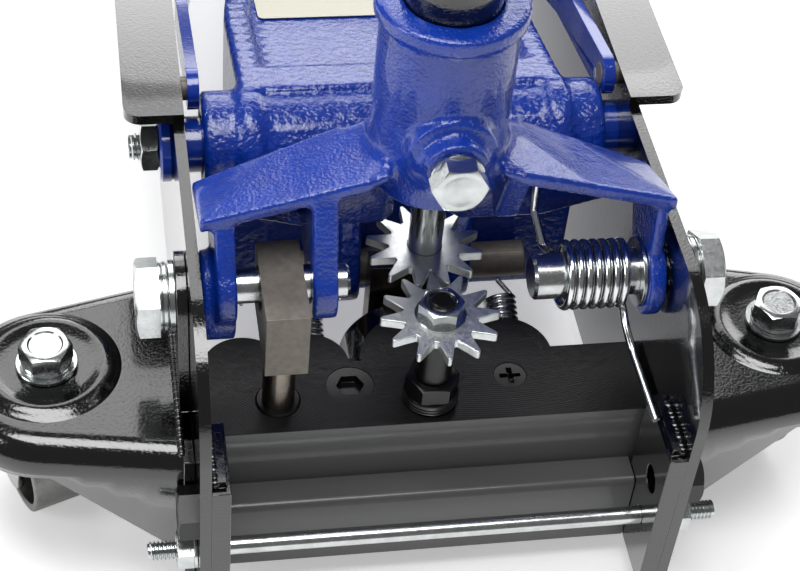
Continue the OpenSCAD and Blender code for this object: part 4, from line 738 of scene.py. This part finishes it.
# ---------------------------------------------------------------- lift arm and links
casting("lift_arm", BLUE_ARM, 1.8, 4)
arm_pivot = Vector(JOINT["arm_lift"]["pos_m"])
low, high, mid = corners("arm_shaft")
plain = put(rod(12 * MM, 2 * PLATE_FACE, 0.8 * MM), "x", (-PLATE_FACE, arm_pivot.y, arm_pivot.z))
dome = put(lathe([(0, 0), (15.6 * MM, 0), (15.6 * MM, 1.4 * MM), (14.2 * MM, 3.2 * MM), (11 * MM, 4.6 * MM),
                  (6 * MM, 5.1 * MM), (0, 5.2 * MM)]), "x", (PLATE_FACE, arm_pivot.y, arm_pivot.z))
collar = put(ring(6 * MM, 15.5 * MM, 5.4 * MM, 1 * MM), "-x", (-PLATE_FACE, arm_pivot.y, arm_pivot.z))
piece("arm_shaft_shown", joined(plain, dome, collar), "frame", BLUE_SMOOTH, ("arm_shaft",))
nut_face = -PLATE_FACE - 5.5 * MM
stud = [put(s, "-x", (-PLATE_FACE, arm_pivot.y, arm_pivot.z))
        for s in thread(6 * MM, -PLATE_FACE - low.x, 1.75 * MM)]
nut = put(hexagon(19 * MM, 7.8 * MM, 0.8 * MM, True), "-x", (nut_face, arm_pivot.y, arm_pivot.z))
piece("arm_nut_shown", joined(nut, *stud), "frame", ZINC, ("arm_nut",))
for node, finish in (("link_bar_left", BLUE_SMOOTH), ("link_bar_right", BLUE_SMOOTH), ("link_studs", RAW),
                     ("saddle_pin", ZINC), ("front_axle", RAW)):
    softened(node, finish, 0.6)

# Plain cream film on the arm's top
slope = math.radians(12.79)
film = bmesh.new()
bmesh.ops.create_cube(film, size=1)
bmesh.ops.scale(film, vec=(57 * MM, 96 * MM, 0.25 * MM), verts=film.verts)
upright_edges = [e for e in film.edges if abs(e.verts[0].co.z - e.verts[1].co.z) > 0.1 * MM]
bmesh.ops.bevel(film, geom=upright_edges, offset=3 * MM, affect="EDGES", segments=6, profile=0.5, material=-1)
film_at = Matrix.Translation((-25.5 * MM, -0.0690, 124.75 * MM)) @ Matrix.Rotation(-slope, 4, "X")
bmesh.ops.transform(film, matrix=film_at, verts=film.verts)
piece("cream_patch", film, "arm", PATCH)

# ---------------------------------------------------------------- saddle and wheels
casting("saddle_yoke", BLUE, 1.1, 4)
softened("saddle", BLACK, 0.9)
softened("saddle_pad", RUBBER, 0.8)
for word in ("left", "right"):
    softened("front_wheel_" + word, ROLLER, 1.0)
    softened("caster_fork_" + word, BLACK, 0.6)
    softened("caster_wheel_" + word, ROLLER, 0.8)
    swivel = Vector(JOINT[f"caster_{word}_swivel"]["pos_m"])
    low, high, mid = corners("caster_bolt_" + word)
    head = high.z - 8 * MM
    seat = Vector((swivel.x, swivel.y, 0))
    stack = [put(ring(6.1 * MM, 12.6 * MM, 1.9 * MM), "z", seat + Vector((0, 0, head - 4 * MM))),
             put(ring(6.1 * MM, 10.4 * MM, 1.9 * MM, 0.5 * MM), "z", seat + Vector((0, 0, head - 2 * MM))),
             put(hexagon(18.9 * MM, 8 * MM, 0.6 * MM), "z", seat + Vector((0, 0, head))),
             put(rod(6 * MM, head - low.z, 0.5 * MM), "z", seat + Vector((0, 0, low.z))),
             put(rod(19 * MM, 79.5 * MM - 52 * MM, 1 * MM), "z", seat + Vector((0, 0, 52 * MM)))]
    piece(f"caster_bolt_{word}_shown", joined(*stack), "frame", ZINC, ("caster_bolt_" + word,))
low, high, mid = corners("axle_nuts")
nuts = [put(hexagon(30 * MM, 10 * MM, 1 * MM), axis, (side * 0.0986, mid.y, mid.z))
        for side, axis in ((-1, "-x"), (1, "x"))]
piece("axle_nuts_shown", joined(*nuts), "frame", ZINC, ("axle_nuts",))


# ---------------------------------------------------------------- studio
def white_floor():
    """Seamless white paper that keeps a soft shadow."""
    material, tree, _ = blank("white_paper")
    seen = add(tree, "ShaderNodeLightPath").outputs["Is Camera Ray"]
    kept = add(tree, "ShaderNodeMapRange", {"To Min": 0.25, "To Max": 0.4}, {"Value": seen})
    bsdf = add(tree, "ShaderNodeBsdfPrincipled",
               {"Base Color": linear("#F4F4F4"), "Roughness": 0.75, "Emission Color": linear("#FFFFFF")},
               {"Emission Strength": kept.outputs[0]})
    add(tree, "ShaderNodeOutputMaterial", links={"Surface": bsdf.outputs["BSDF"]})
    sheet = bmesh.new()
    bmesh.ops.create_grid(sheet, x_segments=1, y_segments=1, size=4)
    bmesh.ops.translate(sheet, verts=sheet.verts, vec=(0, 0, -0.3 * MM))
    data = bpy.data.meshes.new("floor")
    sheet.to_mesh(data)
    sheet.free()
    data.materials.append(material)
    floor = bpy.data.objects.new("floor", data)
    bpy.context.scene.collection.objects.link(floor)


def lamp(name, at, towards, width, height, watts):
    """Softbox at a point, facing another."""
    light = bpy.data.lights.new(name, "AREA")
    light.shape = "RECTANGLE"
    light.size, light.size_y = width, height
    light.energy = watts
    obj = bpy.data.objects.new(name, light)
    away = Vector(at) - Vector(towards)
    obj.matrix_world = Matrix.Translation(at) @ away.to_track_quat("Z", "Y").to_matrix().to_4x4()
    bpy.context.scene.collection.objects.link(obj)


def studio():
    """White world for the camera, grey round the object, and four softboxes."""
    world = bpy.data.worlds.new("studio")
    bpy.context.scene.world = world
    world.use_nodes = True
    tree = world.node_tree
    tree.nodes.clear()
    seen = add(tree, "ShaderNodeLightPath").outputs["Is Camera Ray"]
    room = add(tree, "ShaderNodeBackground", {"Color": linear("#FFFFFF"), "Strength": 0.16})
    white = add(tree, "ShaderNodeBackground", {"Color": linear("#FFFFFF"), "Strength": 1.0})
    mixed = add(tree, "ShaderNodeMixShader", links={0: seen, 1: room.outputs[0], 2: white.outputs[0]})
    add(tree, "ShaderNodeOutputWorld", links={"Surface": mixed.outputs[0]})
    aim = (0, -0.25, 0.1)
    lamp("front_panel", (0.75, 1.6, 1.05), aim, 2.4, 1.0, 26)
    lamp("high_panel", (-0.2, 1.5, 2.0), aim, 2.4, 0.8, 15)
    lamp("overhead_softbox", (-0.2, -0.45, 1.7), aim, 1.3, 0.7, 22)
    lamp("left_softbox", (-1.6, -0.6, 0.9), aim, 0.5, 1.0, 10)


def camera():
    """The photograph's view: place, heading, tilt and roll were fitted to sizes of the real hardware."""
    heading, tilt, roll = (math.radians(a) for a in (12.97, 45.02, 6.13))
    level = Vector((math.sin(heading), math.cos(heading), 0))
    forward = level * math.cos(tilt) - Vector((0, 0, math.sin(tilt)))
    right = Vector((math.cos(heading), -math.sin(heading), 0))
    up = right.cross(forward)
    side = right * math.cos(roll) + up * math.sin(roll)
    top = up * math.cos(roll) - right * math.sin(roll)
    turned = Matrix((side, top, -forward)).transposed().to_4x4()
    lens = bpy.data.cameras.new("camera")
    lens.sensor_width = 36
    lens.lens = 36 * 1876.6 / 800
    lens.clip_start = 0.01
    obj = bpy.data.objects.new("camera", lens)
    obj.matrix_world = Matrix.Translation((-0.13228, -0.7981, 0.65764)) @ turned
    bpy.context.scene.collection.objects.link(obj)
    bpy.context.scene.camera = obj


white_floor()
studio()
camera()
bpy.context.scene.view_settings.view_transform = "Standard"
